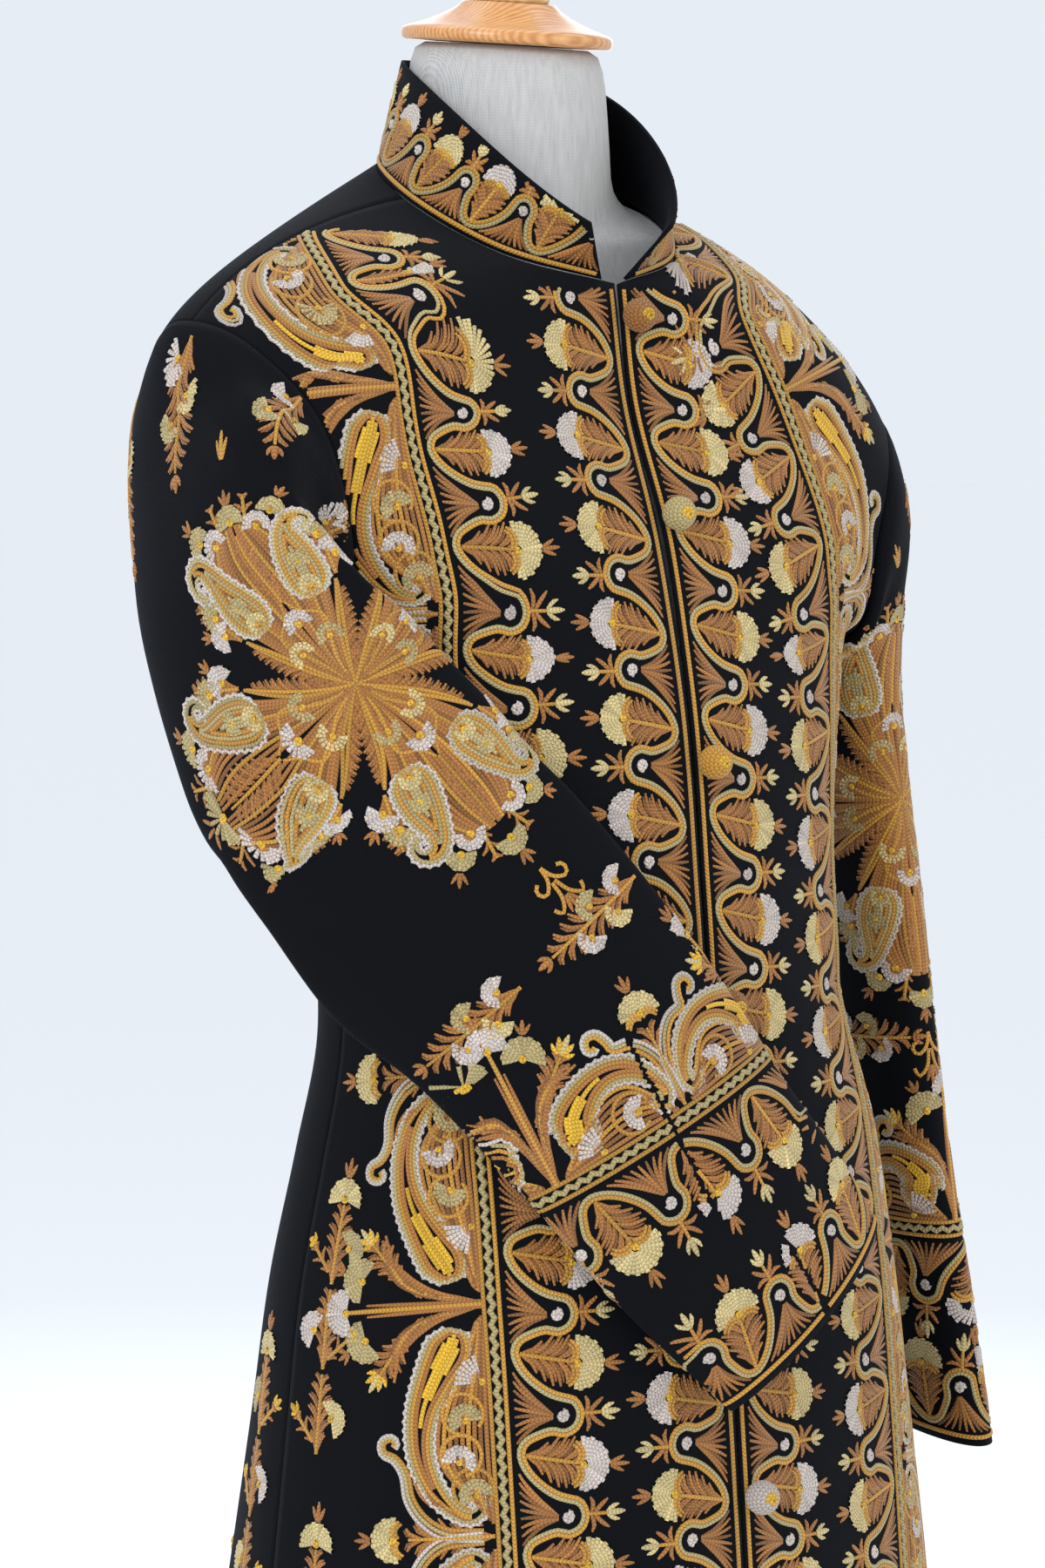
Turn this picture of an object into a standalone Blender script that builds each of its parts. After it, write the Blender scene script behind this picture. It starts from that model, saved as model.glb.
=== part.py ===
# Embroidered knee-length jacket on a limbless dress form.
# Metres, +Z up. The origin is on the floor under the form's pole. The front of the jacket
# faces -Y, so the wearer's right side is at -X.

import math

import bpy
import numpy as np
from mathutils import Vector

# Cloth and seams
CLOTH = 0.002
SEAM_GAP = 0.0004
SIDE_SEAM_Y = 0.006
SIDE_SEAM_GAP = 0.0008
SHOULDER_SEAM_GAP = 0.0006
FRONT_OPENING = 0.0010
OPENING_SAG = 0.0018
OPENING_SAG_HEIGHT = 1.190
OPENING_SAG_SPREAD = 0.032

# Neckline ring: an oval that dips towards the front
NECK_Y = 0.041
NECK_HALF_WIDTH = 0.087
NECK_HALF_DEPTH = 0.080
NAPE_HEIGHT = 1.435
NECK_DROP = 0.076
NECK_DROP_POWER = 2.8
NECK_START_ANGLE = 1.0

# Sections of the jacket up to the armpit.
# Columns: height, half width right, half width left, depth in front, depth behind
SECTIONS = (
    (0.490, 0.228, 0.241, 0.160, 0.148),
    (0.640, 0.208, 0.226, 0.151, 0.132),
    (0.730, 0.197, 0.216, 0.143, 0.120),
    (0.814, 0.186, 0.206, 0.135, 0.110),
    (0.880, 0.171, 0.194, 0.128, 0.100),
    (0.943, 0.158, 0.173, 0.121, 0.091),
    (1.024, 0.162, 0.166, 0.113, 0.098),
    (1.150, 0.180, 0.183, 0.096, 0.114),
)
ROUNDING = 0.64

# Rows of one half of the jacket above the armpit. Each row is one cubic curve from the
# front edge, neckline or centre back to the armhole, as x, y and height.
# Columns: inner end (y and height, or the neckline angle), two middle points, outer end
YOKE = (
    ((-0.080, 1.215), (0.095, -0.088, 1.214), (0.170, -0.078, 1.190), (0.186, -0.036, 1.164)),
    ((-0.050, 1.295), (0.085, -0.058, 1.292), (0.165, -0.066, 1.268), (0.191, -0.048, 1.222)),
    (0.0, (0.070, -0.042, 1.356), (0.172, -0.046, 1.330), (0.208, -0.040, 1.273)),
    (45.0, (0.105, -0.014, 1.380), (0.192, -0.010, 1.352), (0.229, -0.012, 1.304)),
    (90.0, (0.138, 0.044, 1.396), (0.200, 0.036, 1.367), (0.240, 0.026, 1.316)),
    (135.0, (0.110, 0.088, 1.406), (0.198, 0.080, 1.358), (0.239, 0.056, 1.311)),
    (180.0, (0.080, 0.121, 1.414), (0.188, 0.106, 1.342), (0.230, 0.084, 1.284)),
    ((0.130, 1.320), (0.095, 0.132, 1.318), (0.182, 0.118, 1.272), (0.210, 0.096, 1.228)),
    ((0.126, 1.222), (0.100, 0.128, 1.220), (0.174, 0.112, 1.192), (0.188, 0.060, 1.165)),
)
SHOULDER_ROW = len(SECTIONS) + 4
ARMPIT_ROW = len(SECTIONS) - 1
ARMPIT_BACK_ROW = len(SECTIONS) + len(YOKE)
NECK_ROW = len(SECTIONS) + 2
NAPE_ROW = len(SECTIONS) + 6

# The right shoulder sits a little higher than the left one on the form
TIP_RAISE = {-1: 0.020, 1: -0.022}

# Soft flutes of the skirt. Columns: side, front or back, place across, spread, depth at hem
FLUTES = (
    (-1, "front", 0.46, 0.13, 0.010),
    (-1, "front", 0.74, 0.10, 0.011),
    (1, "front", 0.52, 0.14, 0.009),
    (1, "front", 0.76, 0.10, 0.011),
    (-1, "back", 0.20, 0.11, 0.010),
    (-1, "back", 0.62, 0.13, 0.012),
    (1, "back", 0.26, 0.12, 0.011),
    (1, "back", 0.68, 0.13, 0.011),
)
FLUTE_TOP = 0.86

# Panel grids: rows between neighbouring control rows, and places across one half
ROWS_PER_SECTION = 2
ROWS_PER_YOKE = 3
ACROSS = (0.0, 0.09, 0.19, 0.29, 0.39, 0.49, 0.59, 0.69, 0.79, 0.89, 0.965, 1.0)
SEAM_ROW = 0.004

# Collar: the top edge is an oval of its own
COLLAR_TOP_Y = 0.0295
COLLAR_TOP_HALF_WIDTH = 0.068
COLLAR_TOP_HALF_DEPTH = 0.091
COLLAR_TOP_HEIGHT = 1.490
COLLAR_TOP_DROP = 0.110
COLLAR_TOP_DROP_POWER = 3.7
COLLAR_START = 0.0075
COLLAR_TOP_START = 26.0
COLLAR_ROWS = 4

# Thread-covered ball buttons, down the left front edge
BUTTON_RADIUS = 0.0092
BUTTON_FROM_EDGE = 0.0060
BUTTON_HEIGHTS = (1.340, 1.229, 1.096, 0.963, 0.831, 0.696)
SHANK_RADIUS = 0.0022
BUTTON_COLOURS = (
    (0.47, 0.24, 0.07), (0.52, 0.50, 0.24), (0.60, 0.42, 0.13),
    (0.45, 0.22, 0.07), (0.58, 0.46, 0.20), (0.66, 0.60, 0.58),
)

# Sleeves as rings from the shoulder to the cuff.
# Columns: middle of the outer face, middle of the inner face, front fold, back fold
LEFT_SLEEVE = (
    ((0.256, 0.036, 1.250), (0.194, 0.026, 1.134), (0.214, -0.044, 1.196), (0.226, 0.108, 1.200)),
    ((0.254, 0.044, 1.205), (0.193, 0.034, 1.118), (0.220, -0.035, 1.165), (0.226, 0.114, 1.168)),
    ((0.251, 0.046, 1.150), (0.197, 0.040, 1.095), (0.222, -0.030, 1.125), (0.225, 0.114, 1.128)),
    ((0.254, 0.042, 1.085), (0.204, 0.040, 1.055), (0.228, -0.031, 1.072), (0.231, 0.109, 1.074)),
    ((0.261, 0.036, 1.010), (0.212, 0.036, 1.000), (0.235, -0.035, 1.006), (0.237, 0.103, 1.008)),
    ((0.267, 0.028, 0.930), (0.221, 0.028, 0.926), (0.243, -0.040, 0.929), (0.245, 0.095, 0.932)),
    ((0.275, 0.019, 0.850), (0.232, 0.019, 0.847), (0.252, -0.045, 0.848), (0.255, 0.083, 0.853)),
    ((0.285, 0.009, 0.770), (0.245, 0.009, 0.768), (0.264, -0.052, 0.766), (0.267, 0.070, 0.774)),
    ((0.296, 0.000, 0.680), (0.257, 0.000, 0.677), (0.275, -0.061, 0.670), (0.279, 0.060, 0.688)),
)
RIGHT_SLEEVE = (
    ((-0.256, 0.018, 1.283), (-0.194, 0.010, 1.140), (-0.224, -0.056, 1.262), (-0.229, 0.086, 1.226)),
    ((-0.264, 0.010, 1.236), (-0.203, 0.006, 1.150), (-0.238, -0.068, 1.243), (-0.232, 0.080, 1.195)),
    ((-0.263, 0.000, 1.198), (-0.201, 0.002, 1.148), (-0.231, -0.078, 1.226), (-0.233, 0.074, 1.163)),
    ((-0.253, -0.014, 1.170), (-0.197, -0.003, 1.140), (-0.214, -0.086, 1.204), (-0.234, 0.064, 1.130)),
    ((-0.236, -0.033, 1.134), (-0.200, -0.014, 1.145), (-0.190, -0.089, 1.184), (-0.236, 0.048, 1.098)),
    ((-0.222, -0.048, 1.112), (-0.192, -0.025, 1.114), (-0.160, -0.086, 1.161), (-0.239, 0.024, 1.066)),
    ((-0.209, -0.068, 1.093), (-0.184, -0.045, 1.089), (-0.139, -0.096, 1.138), (-0.238, -0.002, 1.042)),
    ((-0.190, -0.087, 1.063), (-0.173, -0.063, 1.063), (-0.120, -0.107, 1.112), (-0.230, -0.026, 1.014)),
    ((-0.162, -0.100, 1.025), (-0.148, -0.079, 1.027), (-0.097, -0.117, 1.087), (-0.199, -0.040, 0.967)),
    ((-0.125, -0.123, 0.986), (-0.113, -0.104, 0.985), (-0.057, -0.131, 1.039), (-0.167, -0.072, 0.931)),
    ((-0.092, -0.145, 0.945), (-0.084, -0.125, 0.943), (-0.019, -0.144, 0.987), (-0.147, -0.102, 0.898)),
    ((-0.049, -0.162, 0.893), (-0.045, -0.142, 0.890), (0.028, -0.149, 0.924), (-0.118, -0.130, 0.855)),
    ((-0.014, -0.173, 0.850), (-0.013, -0.154, 0.848), (0.062, -0.152, 0.883), (-0.087, -0.148, 0.812)),
    ((0.039, -0.175, 0.796), (0.039, -0.157, 0.794), (0.099, -0.147, 0.838), (-0.022, -0.162, 0.750)),
)
SLEEVE_START = 0.005
SLEEVE_LONG_STEP = 0.05
SLEEVE_SEAM_GAP = 0.0010

# Dress form. Each row is a level ring of the torso and neck.
# Columns: height, half width, front, back, place of the widest point; all along y
FORM_RINGS = (
    (0.780, 0.140, -0.094, 0.084, 0.000),
    (0.786, 0.153, -0.108, 0.092, 0.000),
    (0.860, 0.158, -0.116, 0.090, 0.000),
    (0.943, 0.146, -0.108, 0.080, 0.000),
    (1.024, 0.149, -0.101, 0.087, 0.000),
    (1.090, 0.159, -0.094, 0.095, 0.004),
    (1.150, 0.168, -0.085, 0.102, 0.010),
    (1.215, 0.174, -0.068, 0.110, 0.020),
    (1.265, 0.182, -0.052, 0.114, 0.026),
    (1.300, 0.187, -0.036, 0.113, 0.032),
    (1.325, 0.184, -0.026, 0.108, 0.036),
    (1.352, 0.176, -0.016, 0.101, 0.038),
    (1.372, 0.160, -0.010, 0.096, 0.040),
    (1.388, 0.138, -0.005, 0.094, 0.042),
    (1.400, 0.112, -0.003, 0.096, 0.045),
    (1.405, 0.090, -0.001, 0.100, 0.050),
    (1.412, 0.074, 0.001, 0.107, 0.054),
    (1.424, 0.0630, 0.001, 0.112, 0.056),
    (1.440, 0.0590, 0.0005, 0.1150, 0.0578),
    (1.465, 0.0570, 0.0015, 0.1145, 0.0580),
    (1.484, 0.0548, 0.0035, 0.1125, 0.0580),
    (1.492, 0.0520, 0.0060, 0.1100, 0.0580),
    (1.4955, 0.0465, 0.0115, 0.1045, 0.0580),
)
FORM_COLUMNS = 44
FORM_SLOPE = 0.35
FORM_SLOPE_FROM = 1.33
FORM_REACH = 0.0035
FORM_SQUARENESS = 2.35
NECK_RING_HEIGHT = 1.424
NECK_TILT = math.radians(5.5)
NECK_CENTRE_Y = 0.058
NECK_TOP = 1.4960
CAP_PROFILE = (
    (0.0, 0.0), (0.058, 0.0), (0.060, 0.002), (0.0602, 0.0055), (0.0585, 0.0075),
    (0.050, 0.0105), (0.036, 0.0165), (0.026, 0.0235), (0.0, 0.0235),
)
KNOB_PROFILE = (
    (0.0, 0.0238), (0.0225, 0.0238), (0.0230, 0.030), (0.0215, 0.044), (0.0225, 0.058),
    (0.0200, 0.070), (0.0120, 0.078), (0.0, 0.0805),
)
POLE_RADIUS = 0.015
BASE_PROFILE = (
    (0.0, 0.0), (0.186, 0.0), (0.190, 0.004), (0.190, 0.018), (0.185, 0.024),
    (0.060, 0.030), (0.030, 0.037), (0.026, 0.046), (0.0, 0.046),
)
TURNED_STEPS = 40


# Curves and surfaces

def cubic(points, u):
    a, b, c, d = (np.asarray(p, float) for p in points)
    u = np.asarray(u, float)[:, None]
    v = 1.0 - u
    return v ** 3 * a + 3.0 * v ** 2 * u * b + 3.0 * v * u ** 2 * c + u ** 3 * d


def neckline(angle, side):
    """Point of the neckline ring. The angle is 0 at the front and 180 at the nape."""
    a = math.radians(max(angle, NECK_START_ANGLE) if angle < 90.0 else angle)
    z = NAPE_HEIGHT - NECK_DROP * max(math.cos(0.5 * a), 0.0) ** NECK_DROP_POWER
    return (side * NECK_HALF_WIDTH * math.sin(a), NECK_Y - NECK_HALF_DEPTH * math.cos(a), z)


def opening(height):
    """Half of the slit between the two fronts."""
    offset = (height - OPENING_SAG_HEIGHT) / OPENING_SAG_SPREAD
    return FRONT_OPENING + OPENING_SAG * math.exp(-offset * offset)


def section_row(section, side, front):
    height, right, left, before, behind = section
    width = right if side < 0 else left
    depth = -before if front else behind
    seam = SIDE_SEAM_Y + (-0.5 if front else 0.5) * SIDE_SEAM_GAP
    inner = opening(height) if front else 0.0
    return (
        (side * inner, depth, height),
        (side * ROUNDING * width, depth, height),
        (side * width, seam + (depth - seam) * ROUNDING, height),
        (side * width, seam, height),
    )


def yoke_row(row, side):
    start, first, second, outer = row
    if isinstance(start, tuple):
        inner = opening(start[1]) if start[0] < 0.0 else 0.0
        start = (side * inner, start[0], start[1])
    else:
        start = neckline(start, side)
    raised = TIP_RAISE[side] * max(0.0, (outer[2] - SECTIONS[-1][0]) / 0.166)
    return (
        start,
        (side * first[0], first[1], first[2]),
        (side * second[0], second[1], second[2] + 0.35 * raised),
        (side * outer[0], outer[1], outer[2] + raised),
    )


def half_rows(side):
    """All control rows of one half: up the front, over the shoulder and down the back."""
    rows = [section_row(section, side, True) for section in SECTIONS]
    rows += [yoke_row(row, side) for row in YOKE]
    rows += [section_row(section, side, False) for section in reversed(SECTIONS)]
    return rows


def slopes(points, knots):
    """Slope at each knot of a smooth curve through the points, one set for each column."""
    steps = (points[1:] - points[:-1]) / (knots[1:] - knots[:-1])[:, None, None]
    inner = np.empty_like(points)
    inner[0] = steps[0]
    inner[-1] = steps[-1]
    before = (knots[1:-1] - knots[:-2])[:, None, None]
    after = (knots[2:] - knots[1:-1])[:, None, None]
    inner[1:-1] = (steps[:-1] * after + steps[1:] * before) / (before + after)
    return inner, steps


def through(points, knots, places, corners=None):
    """Rows at the places, smooth through the control rows. A corner is a control row and
    how sharply each column turns there."""
    middle, steps = slopes(points, knots)
    rising = middle.copy()
    falling = middle.copy()
    for k, weight in (corners or {}).items():
        weight = weight[:, None]
        falling[k] = (1.0 - weight) * middle[k] + weight * steps[k - 1]
        rising[k] = (1.0 - weight) * middle[k] + weight * steps[k]
    rows = []
    for place in places:
        k = int(np.clip(np.searchsorted(knots, place, side="right") - 1, 0, len(knots) - 2))
        h = knots[k + 1] - knots[k]
        u = (place - knots[k]) / h
        rows.append(
            (2 * u ** 3 - 3 * u ** 2 + 1) * points[k]
            + (u ** 3 - 2 * u ** 2 + u) * h * rising[k]
            + (3 * u ** 2 - 2 * u ** 3) * points[k + 1]
            + (u ** 3 - u ** 2) * h * falling[k + 1]
        )
    return np.array(rows)


def half_controls(side, across):
    """Control rows sampled at the places across, and the length along the half at each."""
    points = np.array([cubic(row, across) for row in half_rows(side)])
    steps = np.linalg.norm(points[1:] - points[:-1], axis=2).mean(axis=1)
    return points, np.concatenate(([0.0], np.cumsum(steps)))


def flute(points, side, front, across):
    """Pushes the skirt in and out in soft flutes that fade upwards and at the seams."""
    hem = SECTIONS[0][0]
    for flute_side, where, centre, spread, depth in FLUTES:
        if flute_side != side or (where == "front") != front:
            continue
        bump = np.exp(-((across - centre) / spread) ** 2) - 0.35 * np.exp(
            -((across - centre) / (2.2 * spread)) ** 2
        )
        bump = bump * np.minimum(1.0, across / 0.22) * (1.0 - across ** 5)
        height = points[..., 2]
        fade = np.clip((FLUTE_TOP - height) / (FLUTE_TOP - hem), 0.0, 1.0) ** 1.4
        outward = points[..., :2] / np.linalg.norm(points[..., :2], axis=-1, keepdims=True)
        points[..., :2] += outward * (depth * bump * fade)[..., None]
    return points


def half_surface(side, places, across):
    """Points of one half at lengths along it and places across it."""
    across = np.asarray(across, float)
    points, knots = half_controls(side, across)
    _, even_knots = half_controls(side, np.linspace(0.0, 1.0, 21))
    outer = across ** 6
    inner = (1.0 - across) ** 6
    corners = {ARMPIT_ROW: outer, ARMPIT_BACK_ROW: outer, NECK_ROW: inner, NAPE_ROW: inner}
    grid = through(points, even_knots, places, corners)
    half = even_knots[SHOULDER_ROW]
    for k, place in enumerate(places):
        grid[k] = flute(grid[k], side, place < half, across)
    return grid


def half_knots(side):
    return half_controls(side, np.linspace(0.0, 1.0, 21))[1]


def panel_places(side, front):
    """Lengths along the half at which the panel has its rows."""
    knots = half_knots(side)
    first, last = (0, SHOULDER_ROW) if front else (SHOULDER_ROW, len(knots) - 1)
    places = []
    for k in range(first, last):
        parts = ROWS_PER_YOKE if ARMPIT_ROW <= k < ARMPIT_BACK_ROW else ROWS_PER_SECTION
        for part in range(parts):
            places.append(knots[k] + (knots[k + 1] - knots[k]) * part / parts)
    places.append(knots[last])
    seam = knots[SHOULDER_ROW]
    if front:
        places[-1] = seam - 0.5 * SHOULDER_SEAM_GAP
        places.insert(-1, seam - SEAM_ROW)
    else:
        places[0] = seam + 0.5 * SHOULDER_SEAM_GAP
        places.insert(1, seam + SEAM_ROW)
    return places


def panel_edge(side, column):
    """Edge vertices of the front and back panels, and the cloth's direction and outward
    normal there. The two vertices at the shoulder seam become one between them."""
    knots = half_knots(side)
    front = panel_places(side, True)
    back = panel_places(side, False)
    near = column + (-0.03 if column > 0.5 else 0.03)
    grid = half_surface(side, front + back, (near, column))
    edge = grid[:, 1]
    cloth = edge - grid[:, 0]
    cloth /= np.linalg.norm(cloth, axis=1, keepdims=True)
    along = np.gradient(edge, axis=0)
    k = len(front)
    along[k - 1] = edge[k - 1] - edge[k - 2]
    along[k] = edge[k + 1] - edge[k]
    normal = np.cross(along, cloth) * (-side if column > 0.5 else side)
    normal /= np.linalg.norm(normal, axis=1, keepdims=True)
    places = np.array(front + back)

    def joined(values):
        middle = 0.5 * (values[k - 1:k] + values[k:k + 1])
        return np.concatenate((values[:k - 1], middle, values[k + 1:]))
    return joined(places), joined(edge), joined(cloth), joined(normal), knots


def armhole(side):
    """Armhole vertices from the shoulder over the back and armpit to the front, with the
    cloth's direction, its normal and the share of the way round at each."""
    places, edge, cloth, normal, knots = panel_edge(side, 1.0)
    first = int(np.argmin(np.abs(places - knots[ARMPIT_ROW])))
    last = int(np.argmin(np.abs(places - knots[ARMPIT_BACK_ROW])))
    top = int(np.argmin(np.abs(places - knots[SHOULDER_ROW])))
    edge[first] = 0.5 * (edge[first] + edge[last])
    order = list(range(top, last)) + list(range(first, top))
    ring = edge[order]
    steps = np.linalg.norm(np.roll(ring, -1, axis=0) - ring, axis=1)
    share = np.concatenate(([0.0], np.cumsum(steps)[:-1])) / steps.sum()
    return ring, cloth[order], normal[order], share


def sleeve_rows(side, rings):
    """Rings of a sleeve: the seam, a short start along the body's own cloth, then the
    rings of the table. Column 0 is the outer face, then the back fold, the inner face and
    the front fold."""
    edge, cloth, normal, share = armhole(side)
    turn = 2.0 * math.pi * share
    low = (0.5 - 0.5 * np.cos(turn))[:, None]
    away = cloth * np.cos(0.5 * math.pi * low) + normal * np.sin(0.5 * math.pi * low)
    away /= np.linalg.norm(away, axis=1, keepdims=True)
    rows = [edge + SEAM_GAP * away, edge + SLEEVE_START * away]
    across = np.sign(np.cos(turn)) * np.abs(np.cos(turn)) ** 0.9
    along = np.sign(np.sin(turn)) * np.abs(np.sin(turn)) ** 0.9
    for outer, inner, front, back in rings:
        outer, inner, front, back = (np.array(p) for p in (outer, inner, front, back))
        middle = 0.5 * (front + back)
        bow = 0.5 * (outer + inner) - middle
        row = middle + across[:, None] * 0.5 * (outer - inner)
        row = row + along[:, None] * 0.5 * (back - front)
        row = row + (1.0 - along[:, None] ** 2) * bow
        rows.append(row)
    return np.array(rows)


def sleeve_surface(side, rings):
    """Ring rows of a sleeve, denser where the table is sparse."""
    rows = sleeve_rows(side, rings)
    steps = np.linalg.norm(rows[1:] - rows[:-1], axis=2).mean(axis=1)
    knots = np.concatenate(([0.0], np.cumsum(steps)))
    places = [knots[0], knots[1]]
    for k in range(1, len(knots) - 1):
        if knots[k + 1] - knots[k] > SLEEVE_LONG_STEP:
            places.append(0.5 * (knots[k] + knots[k + 1]))
        places.append(knots[k + 1])
    return through(rows, knots, places)


def collar_base(side):
    """Neckline vertices from the collar's front end to the nape, and their share of the
    way."""
    places, edge, _, _, knots = panel_edge(side, 0.0)
    first = int(np.argmin(np.abs(places - knots[NECK_ROW])))
    last = int(np.argmin(np.abs(places - knots[NAPE_ROW])))
    line = edge[first:last + 1]
    line[-1, 0] = 0.0
    steps = np.linalg.norm(line[1:] - line[:-1], axis=1)
    length = np.concatenate(([0.0], np.cumsum(steps)))
    start = line[0] + (line[1] - line[0]) * COLLAR_START / steps[0]
    line = np.concatenate(([start], line[1:]))
    share = np.concatenate(([0.0], (length[1:] - COLLAR_START) / (length[-1] - COLLAR_START)))
    return line, share


def collar_columns(side):
    columns = []
    for bottom, share in zip(*collar_base(side)):
        a = math.radians(COLLAR_TOP_START + (180.0 - COLLAR_TOP_START) * share)
        rise = math.cos(0.5 * a) ** COLLAR_TOP_DROP_POWER if share < 1.0 else 0.0
        top = np.array((
            side * COLLAR_TOP_HALF_WIDTH * math.sin(a) if share < 1.0 else 0.0,
            COLLAR_TOP_Y - COLLAR_TOP_HALF_DEPTH * math.cos(a),
            COLLAR_TOP_HEIGHT - COLLAR_TOP_DROP * rise,
        ))
        up = (top - bottom) / np.linalg.norm(top - bottom)
        start = bottom + 1.2 * SEAM_GAP * up
        columns.append([start + (top - start) * v for v in np.linspace(0.0, 1.0, COLLAR_ROWS)])
    return columns


def collar_surface():
    """Rows of the collar from the neckline up, from the right front end round the back to
    the left one."""
    right = collar_columns(-1)
    left = collar_columns(1)
    return np.array(right[:-1] + left[::-1]).transpose(1, 0, 2)


def cloth_above(points):
    """Height of the jacket's outer face over each point, the lowest within a short way."""
    samples = []
    for side in (-1, 1):
        knots = half_knots(side)
        places = list(np.linspace(knots[ARMPIT_ROW + 1], knots[ARMPIT_BACK_ROW - 1], 200))
        samples.append(half_surface(side, places, np.linspace(0.0, 1.0, 80)).reshape(-1, 3))
    samples = np.concatenate(samples)
    heights = []
    for x, y in points:
        near = (samples[:, 0] - x) ** 2 + (samples[:, 1] - y) ** 2 < FORM_REACH ** 2
        heights.append(samples[near, 2].min() if near.any() else math.inf)
    return np.array(heights)


# Blender objects

def clear_scene():
    for item in list(bpy.data.objects):
        bpy.data.objects.remove(item, do_unlink=True)


def make_material(name, colour, roughness, metallic=0.0):
    material = bpy.data.materials.new(name)
    material.use_nodes = True
    shader = material.node_tree.nodes["Principled BSDF"]
    shader.inputs["Base Color"].default_value = (*colour, 1.0)
    shader.inputs["Roughness"].default_value = roughness
    shader.inputs["Metallic"].default_value = metallic
    return material


def add_object(name, data, material, collection):
    item = bpy.data.objects.new(name, data)
    item.data.materials.append(material)
    collection.objects.link(item)
    return item


def grid_faces(index, closed=False, flip=False):
    """Four-sided faces between neighbouring rows and columns of vertex numbers."""
    rows, columns = index.shape
    faces = []
    for i in range(rows - 1):
        for j in range(columns if closed else columns - 1):
            k = (j + 1) % columns
            face = (index[i, j], index[i, k], index[i + 1, k], index[i + 1, j])
            faces.append(tuple(int(n) for n in (face[::-1] if flip else face)))
    return faces


def cloth_object(name, points, faces, material, collection):
    """An open sheet made a wall of cloth by a Solidify modifier."""
    used = sorted({n for face in faces for n in face})
    number = {n: k for k, n in enumerate(used)}
    mesh = bpy.data.meshes.new(name)
    mesh.from_pydata(
        [tuple(points[n]) for n in used], [], [tuple(number[n] for n in face) for face in faces]
    )
    mesh.update()
    item = add_object(name, mesh, material, collection)
    wall = item.modifiers.new("Wall", "SOLIDIFY")
    wall.thickness = CLOTH
    wall.offset = -1.0
    return item


def grid_object(name, grid, material, collection, closed=False, flip=False):
    index = np.arange(grid.shape[0] * grid.shape[1]).reshape(grid.shape[:2])
    return cloth_object(
        name, grid.reshape(-1, 3), grid_faces(index, closed, flip), material, collection
    )


def screw_object(name, profile, centre, aim, steps, material, collection):
    """A turned piece: a profile of radius and height pairs swept round the aim."""
    mesh = bpy.data.meshes.new(name)
    points = [(radius, 0.0, height) for radius, height in profile]
    mesh.from_pydata(points, [(k, k + 1) for k in range(len(points) - 1)], [])
    item = add_object(name, mesh, material, collection)
    item.location = centre
    item.rotation_euler = Vector(aim).to_track_quat("Z", "Y").to_euler()
    turn = item.modifiers.new("Turn", "SCREW")
    turn.steps = steps
    turn.render_steps = steps
    turn.use_merge_vertices = True
    turn.merge_threshold = 0.00005
    turn.use_normal_flip = True
    return item


def build_front(side, name, material, collection):
    grid = half_surface(side, panel_places(side, True), ACROSS)
    return grid_object(name, grid, material, collection, flip=side < 0)


def build_back(material, collection):
    """The two halves of the back, joined down the centre below the nape."""
    places = panel_places(-1, False)
    right = half_surface(-1, places, ACROSS)
    left = half_surface(1, panel_places(1, False), ACROSS)
    nape = int(np.argmin(np.abs(np.array(places) - half_knots(-1)[NAPE_ROW])))
    middle = 0.5 * (right[nape:, 0] + left[nape:, 0])
    middle[:, 0] = 0.0
    right[nape:, 0] = middle
    index = np.arange(right.shape[0] * right.shape[1]).reshape(right.shape[:2])
    left_index = index + index.size
    left_index[nape:, 0] = index[nape:, 0]
    points = np.concatenate((right.reshape(-1, 3), left.reshape(-1, 3)))
    faces = grid_faces(index, flip=True) + grid_faces(left_index)
    return cloth_object("jacket_back", points, faces, material, collection)


def vertex_normals(points, faces):
    mesh = bpy.data.meshes.new("normals")
    mesh.from_pydata([tuple(point) for point in points], [], faces)
    mesh.update()
    normals = np.array([tuple(vertex.normal) for vertex in mesh.vertices])
    bpy.data.meshes.remove(mesh)
    return normals


def part_edges(layer):
    """Moves both long edges of half a sleeve back from the seams along the folds."""
    layer = layer.copy()
    for edge, inside in ((0, 1), (-1, -2)):
        step = layer[:, inside] - layer[:, edge]
        along = np.gradient(layer[:, edge], axis=0)
        along /= np.linalg.norm(along, axis=1, keepdims=True)
        step -= (step * along).sum(axis=1, keepdims=True) * along
        length = np.linalg.norm(step, axis=1, keepdims=True)
        layer[:, edge] += step * np.minimum(0.5 * SLEEVE_SEAM_GAP / length, 0.4)
    return layer


def wall_object(name, outer, inner, flip, material, collection):
    """A wall of cloth between an outer and an inner grid, closed along all four edges."""
    rows, columns = outer.shape[:2]
    index = np.arange(rows * columns).reshape(rows, columns)
    count = index.size
    faces = grid_faces(index, flip=flip) + grid_faces(index + count, flip=not flip)
    rim = list(index[0]) + list(index[1:, -1]) + list(index[-1, -2::-1]) + list(index[-2:0:-1, 0])
    for k, a in enumerate(rim):
        b = rim[(k + 1) % len(rim)]
        face = (a, a + count, b + count, b)
        faces.append(tuple(int(n) for n in (face[::-1] if flip else face)))
    mesh = bpy.data.meshes.new(name)
    points = np.concatenate((outer.reshape(-1, 3), inner.reshape(-1, 3)))
    mesh.from_pydata([tuple(point) for point in points], [], faces)
    mesh.update()
    return add_object(name, mesh, material, collection)


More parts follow.
